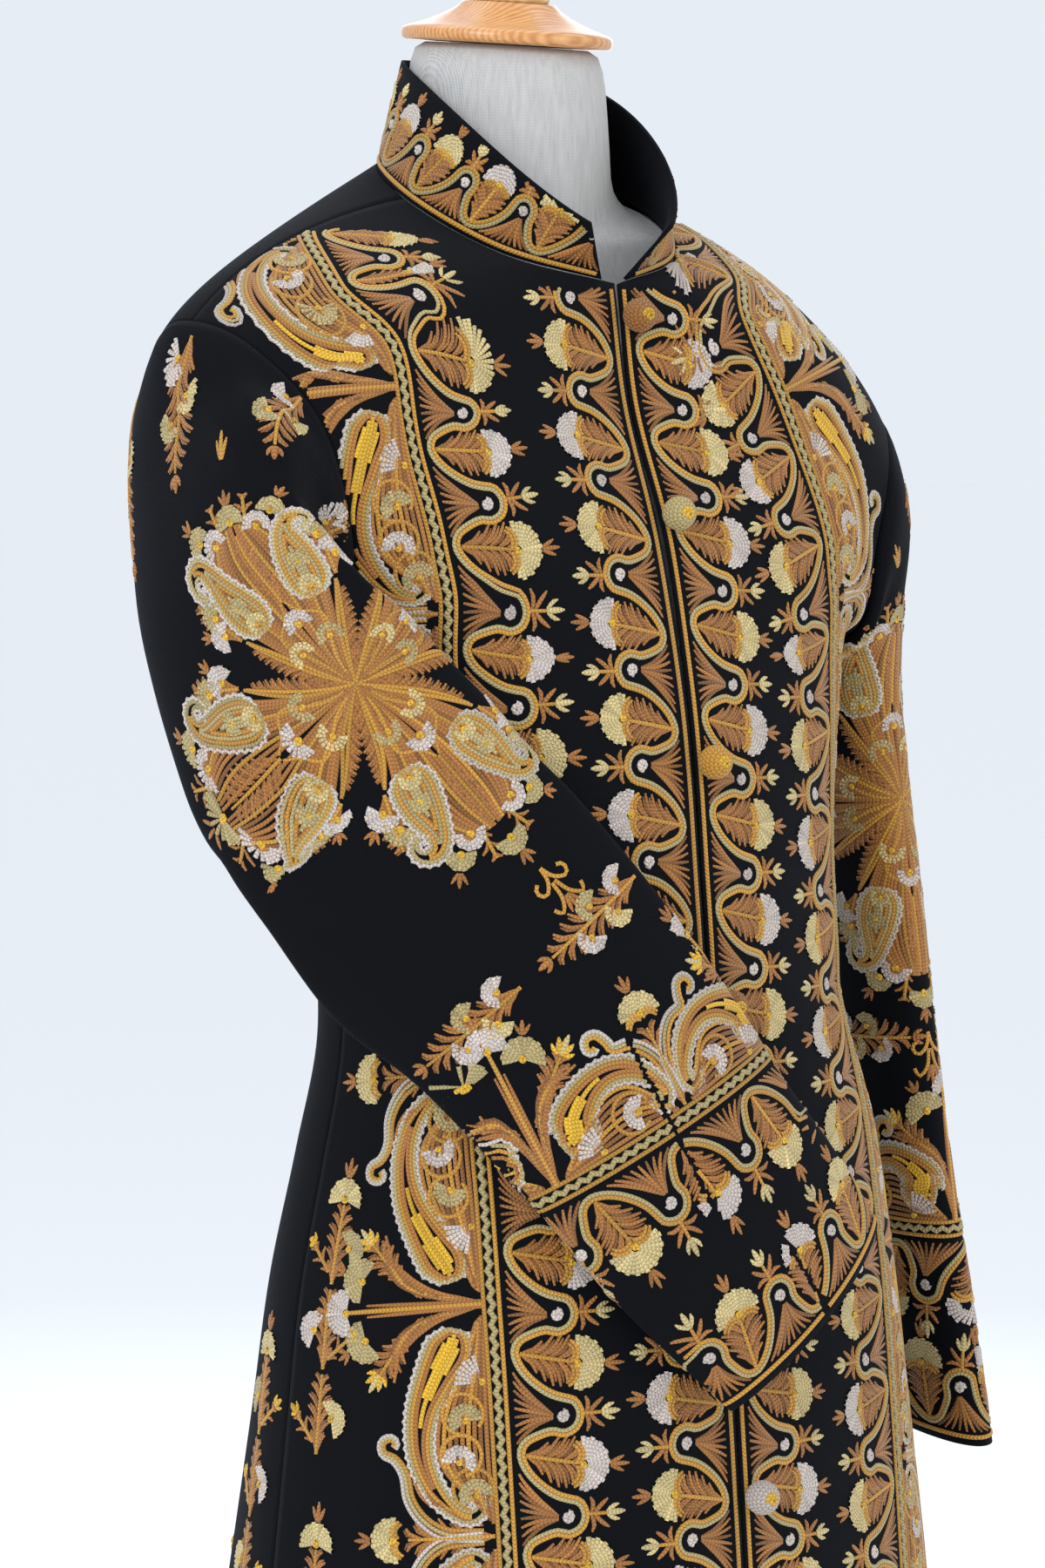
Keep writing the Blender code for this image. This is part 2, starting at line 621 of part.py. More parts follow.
def build_sleeve(side, rings, names, materials, collection):
    """The outer and the inner half of a sleeve, joined along the front and back folds."""
    grid = sleeve_surface(side, rings)
    rows, columns = grid.shape[:2]
    index = np.arange(rows * columns).reshape(rows, columns)
    faces = grid_faces(index, closed=True, flip=side > 0)
    normals = vertex_normals(grid.reshape(-1, 3), faces).reshape(grid.shape)
    lining = grid - CLOTH * normals
    share = armhole(side)[3]
    back_fold = int(np.argmin(np.abs(share - 0.25)))
    front_fold = int(np.argmin(np.abs(share - 0.75)))
    halves = (
        list(range(front_fold, columns)) + list(range(0, back_fold + 1)),
        list(range(back_fold, front_fold + 1)),
    )
    for half, name, material in zip(halves, names, materials):
        outer = part_edges(grid[:, half])
        inner = part_edges(lining[:, half])
        wall_object(name, outer, inner, side > 0, material, collection)


def build_collar(material, collection):
    return grid_object("collar", collar_surface(), material, collection, flip=True)


def build_button(index, height, material, collection):
    """A ball on a short shank, square to the cloth of the left front."""
    knots = half_knots(1)
    half = knots[SHOULDER_ROW]
    places = list(np.linspace(0.0, half, 1400))
    columns = np.linspace(0.0, 0.08, 33)
    grid = half_surface(1, places, columns)
    wanted = opening(height) + BUTTON_FROM_EDGE
    miss = (grid[..., 0] - wanted) ** 2 + (grid[..., 2] - height) ** 2
    i, j = np.unravel_index(np.argmin(miss), miss.shape)
    i = int(np.clip(i, 1, len(places) - 2))
    j = int(np.clip(j, 1, len(columns) - 2))
    up = grid[i + 1, j] - grid[i - 1, j]
    across = grid[i, j + 1] - grid[i, j - 1]
    normal = np.cross(across, up)
    normal /= np.linalg.norm(normal)
    foot = np.array((wanted, grid[i, j, 1], height)) + 0.0004 * normal
    profile = [(0.0, 0.0), (SHANK_RADIUS, 0.0)]
    start = math.asin(SHANK_RADIUS / BUTTON_RADIUS)
    centre = 0.0006 + BUTTON_RADIUS * math.cos(start)
    for k in range(8):
        angle = start + (math.pi - start) * k / 7
        profile.append((BUTTON_RADIUS * math.sin(angle), centre - BUTTON_RADIUS * math.cos(angle)))
    profile[-1] = (0.0, profile[-1][1])
    return screw_object(
        "button_" + str(index + 1), profile, tuple(foot), tuple(normal), 12, material, collection
    )


def build_form(material, collection):
    """Torso and neck as level rings, with the shoulders kept under the jacket's."""
    points = []
    for height, width, front, back, centre in FORM_RINGS:
        square = FORM_SQUARENESS if height < 1.30 else 2.0
        lean = max(0.0, min(1.0, (height - NECK_RING_HEIGHT) / (1.484 - NECK_RING_HEIGHT)))
        for k in range(FORM_COLUMNS):
            turn = 2.0 * math.pi * k / FORM_COLUMNS
            c = math.cos(turn)
            s = math.sin(turn)
            x = width * math.copysign(abs(c) ** (2.0 / square), c)
            depth = (back - centre) if s > 0.0 else (centre - front)
            y = centre + depth * math.copysign(abs(s) ** (2.0 / square), s)
            z = height + lean * (y - NECK_CENTRE_Y) * math.tan(NECK_TILT)
            if FORM_SLOPE_FROM < height < NECK_RING_HEIGHT + 0.001:
                z -= FORM_SLOPE * max(0.0, centre - y)
            points.append((x, y, z))
    points = np.array(points)
    limit = cloth_above(points[:, :2]) - 1.1 * CLOTH - SEAM_GAP
    neck = points[:, 2] > NECK_RING_HEIGHT - 0.0005
    points[:, 2] = np.where(neck, points[:, 2], np.minimum(points[:, 2], limit))
    points = [tuple(point) for point in points]
    rings = len(FORM_RINGS)
    faces = []
    for i in range(rings - 1):
        for k in range(FORM_COLUMNS):
            n = (k + 1) % FORM_COLUMNS
            a = i * FORM_COLUMNS
            b = a + FORM_COLUMNS
            faces.append((a + k, a + n, b + n, b + k))
    top = (rings - 1) * FORM_COLUMNS
    faces.append(tuple(range(FORM_COLUMNS))[::-1])
    faces.append(tuple(top + k for k in range(FORM_COLUMNS)))
    mesh = bpy.data.meshes.new("form_torso")
    mesh.from_pydata(points, [], faces)
    mesh.update()
    return add_object("form_torso", mesh, material, collection)


def build_stand(wood, pale_wood, metal, base_wood, collection):
    aim = (0.0, -math.sin(NECK_TILT), math.cos(NECK_TILT))
    centre = (0.0, NECK_CENTRE_Y, NECK_TOP + 0.0003)
    screw_object("form_cap", CAP_PROFILE, centre, aim, TURNED_STEPS, wood, collection)
    screw_object("form_cap_knob", KNOB_PROFILE, centre, aim, 32, pale_wood, collection)
    foot = BASE_PROFILE[-1][1] + SEAM_GAP
    top = FORM_RINGS[0][0] - SEAM_GAP
    pole = ((0.0, foot), (POLE_RADIUS, foot), (POLE_RADIUS, top), (0.0, top))
    screw_object("form_pole", pole, (0, 0, 0), (0, 0, 1), 24, metal, collection)
    screw_object("form_base", BASE_PROFILE, (0, 0, 0), (0, 0, 1), TURNED_STEPS, base_wood, collection)


def main():
    clear_scene()
    parts = bpy.data.collections.new("embroidered_jacket")
    bpy.context.scene.collection.children.link(parts)
    front_right = make_material("wool_front_right", (0.010, 0.012, 0.018), 0.85)
    front_left = make_material("wool_front_left", (0.010, 0.012, 0.019), 0.85)
    back = make_material("wool_back", (0.010, 0.013, 0.018), 0.85)
    sleeve_right = (
        make_material("wool_sleeve_right_outer", (0.011, 0.012, 0.018), 0.85),
        make_material("wool_sleeve_right_inner", (0.010, 0.012, 0.017), 0.85),
    )
    sleeve_left = (
        make_material("wool_sleeve_left_outer", (0.011, 0.012, 0.019), 0.85),
        make_material("wool_sleeve_left_inner", (0.010, 0.012, 0.018), 0.85),
    )
    collar = make_material("wool_collar", (0.011, 0.013, 0.018), 0.85)
    linen = make_material("linen_cover", (0.578, 0.565, 0.552), 0.80)
    cap_wood = make_material("varnished_wood", (0.550, 0.262, 0.080), 0.30)
    knob_wood = make_material("pale_wood", (0.730, 0.520, 0.260), 0.45)
    steel = make_material("stand_metal", (0.080, 0.080, 0.085), 0.35, 1.0)
    base_wood = make_material("base_wood", (0.500, 0.240, 0.080), 0.30)
    build_front(-1, "jacket_front_right", front_right, parts)
    build_front(1, "jacket_front_left", front_left, parts)
    build_back(back, parts)
    build_sleeve(-1, RIGHT_SLEEVE, ("sleeve_right_outer", "sleeve_right_inner"), sleeve_right, parts)
    build_sleeve(1, LEFT_SLEEVE, ("sleeve_left_outer", "sleeve_left_inner"), sleeve_left, parts)
    build_collar(collar, parts)
    for index, height in enumerate(BUTTON_HEIGHTS):
        thread = make_material("thread_button_" + str(index + 1), BUTTON_COLOURS[index], 0.60)
        build_button(index, height, thread, parts)
    build_form(linen, parts)
    build_stand(cap_wood, knob_wood, steel, base_wood, parts)


main()
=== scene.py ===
# Embroidered knee-length jacket, worn on a limbless dress form.
# Metres, +Z up. The front of the jacket faces -Y, so the wearer's right side is at -X.
import math
import bpy
import numpy as np
from mathutils import Matrix, Vector


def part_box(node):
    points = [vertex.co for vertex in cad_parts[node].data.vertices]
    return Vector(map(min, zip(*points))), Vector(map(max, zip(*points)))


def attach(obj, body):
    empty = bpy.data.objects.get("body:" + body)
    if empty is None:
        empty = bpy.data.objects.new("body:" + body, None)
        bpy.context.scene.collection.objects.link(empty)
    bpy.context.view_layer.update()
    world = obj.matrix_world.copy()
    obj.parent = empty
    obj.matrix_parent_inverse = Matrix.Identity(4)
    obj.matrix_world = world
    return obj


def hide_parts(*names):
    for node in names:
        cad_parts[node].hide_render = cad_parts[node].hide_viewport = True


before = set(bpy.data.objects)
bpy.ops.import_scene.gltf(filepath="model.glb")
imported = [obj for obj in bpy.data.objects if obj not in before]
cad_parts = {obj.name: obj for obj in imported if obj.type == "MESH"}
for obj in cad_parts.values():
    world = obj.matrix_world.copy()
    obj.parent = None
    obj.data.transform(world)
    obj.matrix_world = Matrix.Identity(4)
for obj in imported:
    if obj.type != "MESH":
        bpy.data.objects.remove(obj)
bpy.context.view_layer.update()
print("frame loaded,", len(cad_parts), "solids")

# Cloth shape

clothCut = {
    "thickness": 0.002,
    "seamGap": 0.0004,
    "sideSeamY": 0.006,
    "sideSeamGap": 0.0008,
    "shoulderSeamGap": 0.0006,
    "frontOpening": 0.0010,
    "openingSag": 0.0018,
    "openingSagHeight": 1.190,
    "openingSagSpread": 0.032,
    "rounding": 0.64,
    "tipRaise": {-1: 0.020, 1: -0.022},   # the right shoulder sits a little higher
    "fluteTop": 0.86,
    "gridStep": 0.0050,                   # size of the cloth's faces
}

neckRing = {
    "centreY": 0.041,
    "halfWidth": 0.087,
    "halfDepth": 0.080,
    "napeHeight": 1.435,
    "drop": 0.076,
    "dropPower": 2.8,
    "startAngle": 1.0,
}

# height, half width right, half width left, depth in front, depth behind
bodySections = (
    (0.490, 0.228, 0.241, 0.160, 0.148),
    (0.640, 0.208, 0.226, 0.151, 0.132),
    (0.730, 0.197, 0.216, 0.143, 0.120),
    (0.814, 0.186, 0.206, 0.135, 0.110),
    (0.880, 0.171, 0.194, 0.128, 0.100),
    (0.943, 0.158, 0.173, 0.121, 0.091),
    (1.024, 0.162, 0.166, 0.113, 0.098),
    (1.150, 0.180, 0.183, 0.096, 0.114),
)

# rows above the armpit: inner end, two middle points, outer end
yokeRows = (
    ((-0.080, 1.215), (0.095, -0.088, 1.214), (0.170, -0.078, 1.190), (0.186, -0.036, 1.164)),
    ((-0.050, 1.295), (0.085, -0.058, 1.292), (0.165, -0.066, 1.268), (0.191, -0.048, 1.222)),
    (0.0, (0.070, -0.042, 1.356), (0.172, -0.046, 1.330), (0.208, -0.040, 1.273)),
    (45.0, (0.105, -0.014, 1.380), (0.192, -0.010, 1.352), (0.229, -0.012, 1.304)),
    (90.0, (0.138, 0.044, 1.396), (0.200, 0.036, 1.367), (0.240, 0.026, 1.316)),
    (135.0, (0.110, 0.088, 1.406), (0.198, 0.080, 1.358), (0.239, 0.056, 1.311)),
    (180.0, (0.080, 0.121, 1.414), (0.188, 0.106, 1.342), (0.230, 0.084, 1.284)),
    ((0.130, 1.320), (0.095, 0.132, 1.318), (0.182, 0.118, 1.272), (0.210, 0.096, 1.228)),
    ((0.126, 1.222), (0.100, 0.128, 1.220), (0.174, 0.112, 1.192), (0.188, 0.060, 1.165)),
)
shoulderRow = len(bodySections) + 4
armpitRow = len(bodySections) - 1
armpitBackRow = len(bodySections) + len(yokeRows)
neckRow = len(bodySections) + 2
napeRow = len(bodySections) + 6

# side, front or back, place across, spread, depth at the hem
skirtFlutes = (
    (-1, "front", 0.46, 0.13, 0.010),
    (-1, "front", 0.74, 0.10, 0.011),
    (1, "front", 0.52, 0.14, 0.009),
    (1, "front", 0.76, 0.10, 0.011),
    (-1, "back", 0.20, 0.11, 0.010),
    (-1, "back", 0.62, 0.13, 0.012),
    (1, "back", 0.26, 0.12, 0.011),
    (1, "back", 0.68, 0.13, 0.011),
)

collarCut = {
    "topY": 0.0295,
    "topHalfWidth": 0.068,
    "topHalfDepth": 0.091,
    "topHeight": 1.490,
    "topDrop": 0.110,
    "topDropPower": 3.7,
    "start": 0.0075,
    "topStart": 26.0,
    "rows": 15,
}

# sleeve rings: middle of the outer face, of the inner face, front fold, back fold
leftSleeveRings = (
    ((0.256, 0.036, 1.250), (0.194, 0.026, 1.134), (0.214, -0.044, 1.196), (0.226, 0.108, 1.200)),
    ((0.254, 0.044, 1.205), (0.193, 0.034, 1.118), (0.220, -0.035, 1.165), (0.226, 0.114, 1.168)),
    ((0.251, 0.046, 1.150), (0.197, 0.040, 1.095), (0.222, -0.030, 1.125), (0.225, 0.114, 1.128)),
    ((0.254, 0.042, 1.085), (0.204, 0.040, 1.055), (0.228, -0.031, 1.072), (0.231, 0.109, 1.074)),
    ((0.261, 0.036, 1.010), (0.212, 0.036, 1.000), (0.235, -0.035, 1.006), (0.237, 0.103, 1.008)),
    ((0.267, 0.028, 0.930), (0.221, 0.028, 0.926), (0.243, -0.040, 0.929), (0.245, 0.095, 0.932)),
    ((0.275, 0.019, 0.850), (0.232, 0.019, 0.847), (0.252, -0.045, 0.848), (0.255, 0.083, 0.853)),
    ((0.285, 0.009, 0.770), (0.245, 0.009, 0.768), (0.264, -0.052, 0.766), (0.267, 0.070, 0.774)),
    ((0.296, 0.000, 0.680), (0.257, 0.000, 0.677), (0.275, -0.061, 0.670), (0.279, 0.060, 0.688)),
)
rightSleeveRings = (
    ((-0.256, 0.018, 1.283), (-0.194, 0.010, 1.140), (-0.224, -0.056, 1.262), (-0.229, 0.086, 1.226)),
    ((-0.264, 0.010, 1.236), (-0.203, 0.006, 1.150), (-0.238, -0.068, 1.243), (-0.232, 0.080, 1.195)),
    ((-0.263, 0.000, 1.198), (-0.201, 0.002, 1.148), (-0.231, -0.078, 1.226), (-0.233, 0.074, 1.163)),
    ((-0.253, -0.014, 1.170), (-0.197, -0.003, 1.140), (-0.214, -0.086, 1.204), (-0.234, 0.064, 1.130)),
    ((-0.236, -0.033, 1.134), (-0.200, -0.014, 1.145), (-0.190, -0.089, 1.184), (-0.236, 0.048, 1.098)),
    ((-0.222, -0.048, 1.112), (-0.192, -0.025, 1.114), (-0.160, -0.086, 1.161), (-0.239, 0.024, 1.066)),
    ((-0.209, -0.068, 1.093), (-0.184, -0.045, 1.089), (-0.139, -0.096, 1.138), (-0.238, -0.002, 1.042)),
    ((-0.190, -0.087, 1.063), (-0.173, -0.063, 1.063), (-0.120, -0.107, 1.112), (-0.230, -0.026, 1.014)),
    ((-0.162, -0.100, 1.025), (-0.148, -0.079, 1.027), (-0.097, -0.117, 1.087), (-0.199, -0.040, 0.967)),
    ((-0.125, -0.123, 0.986), (-0.113, -0.104, 0.985), (-0.057, -0.131, 1.039), (-0.167, -0.072, 0.931)),
    ((-0.092, -0.145, 0.945), (-0.084, -0.125, 0.943), (-0.019, -0.144, 0.987), (-0.147, -0.102, 0.898)),
    ((-0.049, -0.162, 0.893), (-0.045, -0.142, 0.890), (0.028, -0.149, 0.924), (-0.118, -0.130, 0.855)),
    ((-0.014, -0.173, 0.850), (-0.013, -0.154, 0.848), (0.062, -0.152, 0.883), (-0.087, -0.148, 0.812)),
    ((0.039, -0.175, 0.796), (0.039, -0.157, 0.794), (0.099, -0.147, 0.838), (-0.022, -0.162, 0.750)),
)
sleeveStart = 0.005


def cubic(points, u):
    a, b, c, d = (np.asarray(p, float) for p in points)
    u = np.asarray(u, float)[:, None]
    v = 1.0 - u
    return v ** 3 * a + 3.0 * v ** 2 * u * b + 3.0 * v * u ** 2 * c + u ** 3 * d


# Length along a line up to each of its points
def lengthsAlong(line):
    return np.concatenate(([0.0], np.cumsum(np.linalg.norm(np.diff(line, axis=0), axis=1))))


# The neckline is an oval that dips at the front; the angle is 0 there and 180 at the nape
def neckline(angle, side):
    a = math.radians(max(angle, neckRing["startAngle"]) if angle < 90.0 else angle)
    rise = max(math.cos(0.5 * a), 0.0) ** neckRing["dropPower"]
    return (
        side * neckRing["halfWidth"] * math.sin(a),
        neckRing["centreY"] - neckRing["halfDepth"] * math.cos(a),
        neckRing["napeHeight"] - neckRing["drop"] * rise,
    )


# Half of the slit between the two fronts
def frontSlit(height):
    offset = (height - clothCut["openingSagHeight"]) / clothCut["openingSagSpread"]
    return clothCut["frontOpening"] + clothCut["openingSag"] * math.exp(-offset * offset)


def sectionRow(section, side, front):
    height, right, left, before, behind = section
    width = right if side < 0 else left
    depth = -before if front else behind
    seam = clothCut["sideSeamY"] + (-0.5 if front else 0.5) * clothCut["sideSeamGap"]
    inner = frontSlit(height) if front else 0.0
    rounding = clothCut["rounding"]
    return (
        (side * inner, depth, height),
        (side * rounding * width, depth, height),
        (side * width, seam + (depth - seam) * rounding, height),
        (side * width, seam, height),
    )


def yokeRow(row, side):
    start, first, second, outer = row
    if isinstance(start, tuple):
        inner = frontSlit(start[1]) if start[0] < 0.0 else 0.0
        start = (side * inner, start[0], start[1])
    else:
        start = neckline(start, side)
    raised = clothCut["tipRaise"][side] * max(0.0, (outer[2] - bodySections[-1][0]) / 0.166)
    return (
        start,
        (side * first[0], first[1], first[2]),
        (side * second[0], second[1], second[2] + 0.35 * raised),
        (side * outer[0], outer[1], outer[2] + raised),
    )


# Control rows of one half: up the front, over the shoulder and down the back
def halfRows(side):
    rows = [sectionRow(section, side, True) for section in bodySections]
    rows += [yokeRow(row, side) for row in yokeRows]
    rows += [sectionRow(section, side, False) for section in reversed(bodySections)]
    return rows


def knotSlopes(points, knots):
    steps = (points[1:] - points[:-1]) / (knots[1:] - knots[:-1])[:, None, None]
    inner = np.empty_like(points)
    inner[0] = steps[0]
    inner[-1] = steps[-1]
    before = (knots[1:-1] - knots[:-2])[:, None, None]
    after = (knots[2:] - knots[1:-1])[:, None, None]
    inner[1:-1] = (steps[:-1] * after + steps[1:] * before) / (before + after)
    return inner, steps


# Cubic from a to b that leaves along the first slope and arrives along the second
def hermite(u, a, b, leaving, arriving, span=1.0):
    return (
        (2 * u ** 3 - 3 * u ** 2 + 1) * a
        + (u ** 3 - 2 * u ** 2 + u) * span * leaving
        + (3 * u ** 2 - 2 * u ** 3) * b
        + (u ** 3 - u ** 2) * span * arriving
    )


# Rows at the places, smooth through the control rows, sharp where a corner says so
def rowsThrough(points, knots, places, corners=None):
    middle, steps = knotSlopes(points, knots)
    rising = middle.copy()
    falling = middle.copy()
    for k, weight in (corners or {}).items():
        weight = weight[:, None]
        falling[k] = (1.0 - weight) * middle[k] + weight * steps[k - 1]
        rising[k] = (1.0 - weight) * middle[k] + weight * steps[k]
    rows = []
    for place in places:
        k = int(np.clip(np.searchsorted(knots, place, side="right") - 1, 0, len(knots) - 2))
        span = knots[k + 1] - knots[k]
        u = (place - knots[k]) / span
        rows.append(hermite(u, points[k], points[k + 1], rising[k], falling[k + 1], span))
    return np.array(rows)


# Mean length up to each control row
def rowKnots(rows):
    steps = np.linalg.norm(rows[1:] - rows[:-1], axis=2).mean(axis=1)
    return np.concatenate(([0.0], np.cumsum(steps)))


# Places about a step apart, with one at every knot
def evenPlaces(knots, step):
    places = [0.0]
    for k in range(len(knots) - 1):
        parts = max(1, int(round((knots[k + 1] - knots[k]) / step)))
        places += list(knots[k] + (knots[k + 1] - knots[k]) * np.arange(1, parts + 1) / parts)
    return places


def halfControls(side, across):
    points = np.array([cubic(row, across) for row in halfRows(side)])
    return points, rowKnots(points)


def halfKnots(side):
    return halfControls(side, np.linspace(0.0, 1.0, 21))[1]


# Pushes the skirt in and out in soft flutes that fade upwards and at the seams
def fluted(points, side, front, across):
    hem = bodySections[0][0]
    for fluteSide, where, centre, spread, depth in skirtFlutes:
        if fluteSide != side or (where == "front") != front:
            continue
        bump = np.exp(-((across - centre) / spread) ** 2) - 0.35 * np.exp(
            -((across - centre) / (2.2 * spread)) ** 2
        )
        bump = bump * np.minimum(1.0, across / 0.22) * (1.0 - across ** 5)
        height = points[..., 2]
        fade = np.clip((clothCut["fluteTop"] - height) / (clothCut["fluteTop"] - hem), 0.0, 1.0) ** 1.4
        outward = points[..., :2] / np.linalg.norm(points[..., :2], axis=-1, keepdims=True)
        points[..., :2] += outward * (depth * bump * fade)[..., None]
    return points


def halfSurface(side, places, across):
    across = np.asarray(across, float)
    points, _ = halfControls(side, across)
    knots = halfKnots(side)
    outer = across ** 6
    inner = (1.0 - across) ** 6
    corners = {armpitRow: outer, armpitBackRow: outer, neckRow: inner, napeRow: inner}
    grid = rowsThrough(points, knots, places, corners)
    half = knots[shoulderRow]
    for k, place in enumerate(places):
        grid[k] = fluted(grid[k], side, place < half, across)
    return grid


# Lengths along one half at which its front or back panel has rows
def panelPlaces(side, front):
    knots = halfKnots(side)
    counted = halfKnots(-1)               # the same rows on both sides, so the back's halves meet
    first, last = (0, shoulderRow) if front else (shoulderRow, len(knots) - 1)
    places = []
    for k in range(first, last):
        parts = max(1, int(round((counted[k + 1] - counted[k]) / clothCut["gridStep"])))
        places += list(knots[k] + (knots[k + 1] - knots[k]) * np.arange(parts) / parts)
    places.append(knots[last])
    gap = 0.5 * clothCut["shoulderSeamGap"]
    if front:
        places[-1] -= gap
    else:
        places[0] += gap
    return places


# Edge points of both panels at one column, with the cloth's direction and outward normal
def panelEdge(side, column):
    knots = halfKnots(side)
    front = panelPlaces(side, True)
    back = panelPlaces(side, False)
    near = column + (-0.03 if column > 0.5 else 0.03)
    grid = halfSurface(side, front + back, (near, column))
    edge = grid[:, 1]
    cloth = edge - grid[:, 0]
    cloth /= np.linalg.norm(cloth, axis=1, keepdims=True)
    along = np.gradient(edge, axis=0)
    k = len(front)
    along[k - 1] = edge[k - 1] - edge[k - 2]
    along[k] = edge[k + 1] - edge[k]
    normal = np.cross(along, cloth) * (-side if column > 0.5 else side)
    normal /= np.linalg.norm(normal, axis=1, keepdims=True)
    places = np.array(front + back)

    def joined(values):
        middle = 0.5 * (values[k - 1:k] + values[k:k + 1])
        return np.concatenate((values[:k - 1], middle, values[k + 1:]))
    return joined(places), joined(edge), joined(cloth), joined(normal), knots


# Armhole ring from the shoulder over the back and armpit to the front
def armhole(side):
    places, edge, cloth, normal, knots = panelEdge(side, 1.0)
    first = int(np.argmin(np.abs(places - knots[armpitRow])))
    last = int(np.argmin(np.abs(places - knots[armpitBackRow])))
    top = int(np.argmin(np.abs(places - knots[shoulderRow])))
    edge[first] = 0.5 * (edge[first] + edge[last])
    order = list(range(top, last)) + list(range(first, top))
    ring = edge[order]
    steps = np.linalg.norm(np.roll(ring, -1, axis=0) - ring, axis=1)
    share = np.concatenate(([0.0], np.cumsum(steps)[:-1])) / steps.sum()
    return ring, cloth[order], normal[order], share


# Column 0 is the outer face, then the back fold, the inner face and the front fold
def sleeveSurface(side, rings):
    edge, cloth, normal, share = armhole(side)
    turn = 2.0 * math.pi * share
    low = (0.5 - 0.5 * np.cos(turn))[:, None]
    away = cloth * np.cos(0.5 * math.pi * low) + normal * np.sin(0.5 * math.pi * low)
    away /= np.linalg.norm(away, axis=1, keepdims=True)
    rows = [edge + clothCut["seamGap"] * away, edge + sleeveStart * away]
    across = np.sign(np.cos(turn)) * np.abs(np.cos(turn)) ** 0.9
    along = np.sign(np.sin(turn)) * np.abs(np.sin(turn)) ** 0.9
    for outer, inner, front, back in rings:
        outer, inner, front, back = (np.array(p) for p in (outer, inner, front, back))
        middle = 0.5 * (front + back)
        bow = 0.5 * (outer + inner) - middle
        row = middle + across[:, None] * 0.5 * (outer - inner)
        row = row + along[:, None] * 0.5 * (back - front)
        rows.append(row + (1.0 - along[:, None] ** 2) * bow)
    rows = np.array(rows)
    knots = rowKnots(rows)
    return rowsThrough(rows, knots, evenPlaces(knots, clothCut["gridStep"]))


def collarColumns(side):
    places, edge, _, _, knots = panelEdge(side, 0.0)
    first = int(np.argmin(np.abs(places - knots[neckRow])))
    last = int(np.argmin(np.abs(places - knots[napeRow])))
    line = edge[first:last + 1]
    line[-1, 0] = 0.0
    length = lengthsAlong(line)
    keep = np.concatenate(([False], length[1:] > collarCut["start"] + 0.002))
    start = line[0] + (line[1] - line[0]) * collarCut["start"] / length[1]
    line = np.concatenate(([start], line[keep]))
    share = (length[keep] - collarCut["start"]) / (length[-1] - collarCut["start"])
    share = np.concatenate(([0.0], share))
    columns = []
    for bottom, part in zip(line, share):
        a = math.radians(collarCut["topStart"] + (180.0 - collarCut["topStart"]) * part)
        rise = math.cos(0.5 * a) ** collarCut["topDropPower"] if part < 1.0 else 0.0
        top = np.array((
            side * collarCut["topHalfWidth"] * math.sin(a) if part < 1.0 else 0.0,
            collarCut["topY"] - collarCut["topHalfDepth"] * math.cos(a),
            collarCut["topHeight"] - collarCut["topDrop"] * rise,
        ))
        up = (top - bottom) / np.linalg.norm(top - bottom)
        first = bottom + 1.2 * clothCut["seamGap"] * up
        columns.append([first + (top - first) * v for v in np.linspace(0.0, 1.0, collarCut["rows"])])
    return columns


# Rows of the collar from the neckline up, from the right front end round to the left one
def collarSurface():
    right = collarColumns(-1)
    left = collarColumns(1)
    return np.array(right[:-1] + left[::-1]).transpose(1, 0, 2)


# Folds are soft troughs and ridges along short lines, each as the points of the line,
# half width, depth inwards (minus is a ridge) and how far it tapers at its ends
def pressFolds(grid, normals, folds):
    moved = grid.copy()
    flat = grid.reshape(-1, 3)
    shift = np.zeros(len(flat))
    for line, width, depth, taper in folds:
        line = np.asarray(line, float)
        steps = np.linalg.norm(line[1:] - line[:-1], axis=1)
        lengths = np.concatenate(([0.0], np.cumsum(steps)))
        best = np.full(len(flat), np.inf)
        along = np.zeros(len(flat))
        for k in range(len(steps)):
            a, b = line[k], line[k + 1]
            t = np.clip((flat - a) @ (b - a) / steps[k] ** 2, 0.0, 1.0)
            away = np.linalg.norm(flat - (a + t[:, None] * (b - a)), axis=1)
            nearer = away < best
            best = np.where(nearer, away, best)
            along = np.where(nearer, lengths[k] + t * steps[k], along)
        ends = np.minimum(along, lengths[-1] - along) / max(taper, 1e-6)
        fade = np.clip(0.25 + 0.75 * ends, 0.0, 1.0)
        shift -= depth * fade * np.exp(-(best / width) ** 2)
    moved += normals * shift.reshape(grid.shape[:2])[..., None]
    return moved


def gridNormals(grid, closed, outward):
    if closed:
        wide = np.concatenate((grid[:, -1:], grid, grid[:, :1]), axis=1)
        across = np.gradient(wide, axis=1)[:, 1:-1]
    else:
        across = np.gradient(grid, axis=1)
    along = np.gradient(grid, axis=0)
    normals = np.cross(across, along) * outward
    return normals / np.maximum(np.linalg.norm(normals, axis=2, keepdims=True), 1e-12)


def makeSurface(grid, closed=False, outward=1.0, folds=()):
    normals = gridNormals(grid, closed, outward)
    if folds:
        grid = pressFolds(grid, normals, folds)
        normals = gridNormals(grid, closed, outward)
    return {"points": grid, "normals": normals, "closed": closed}


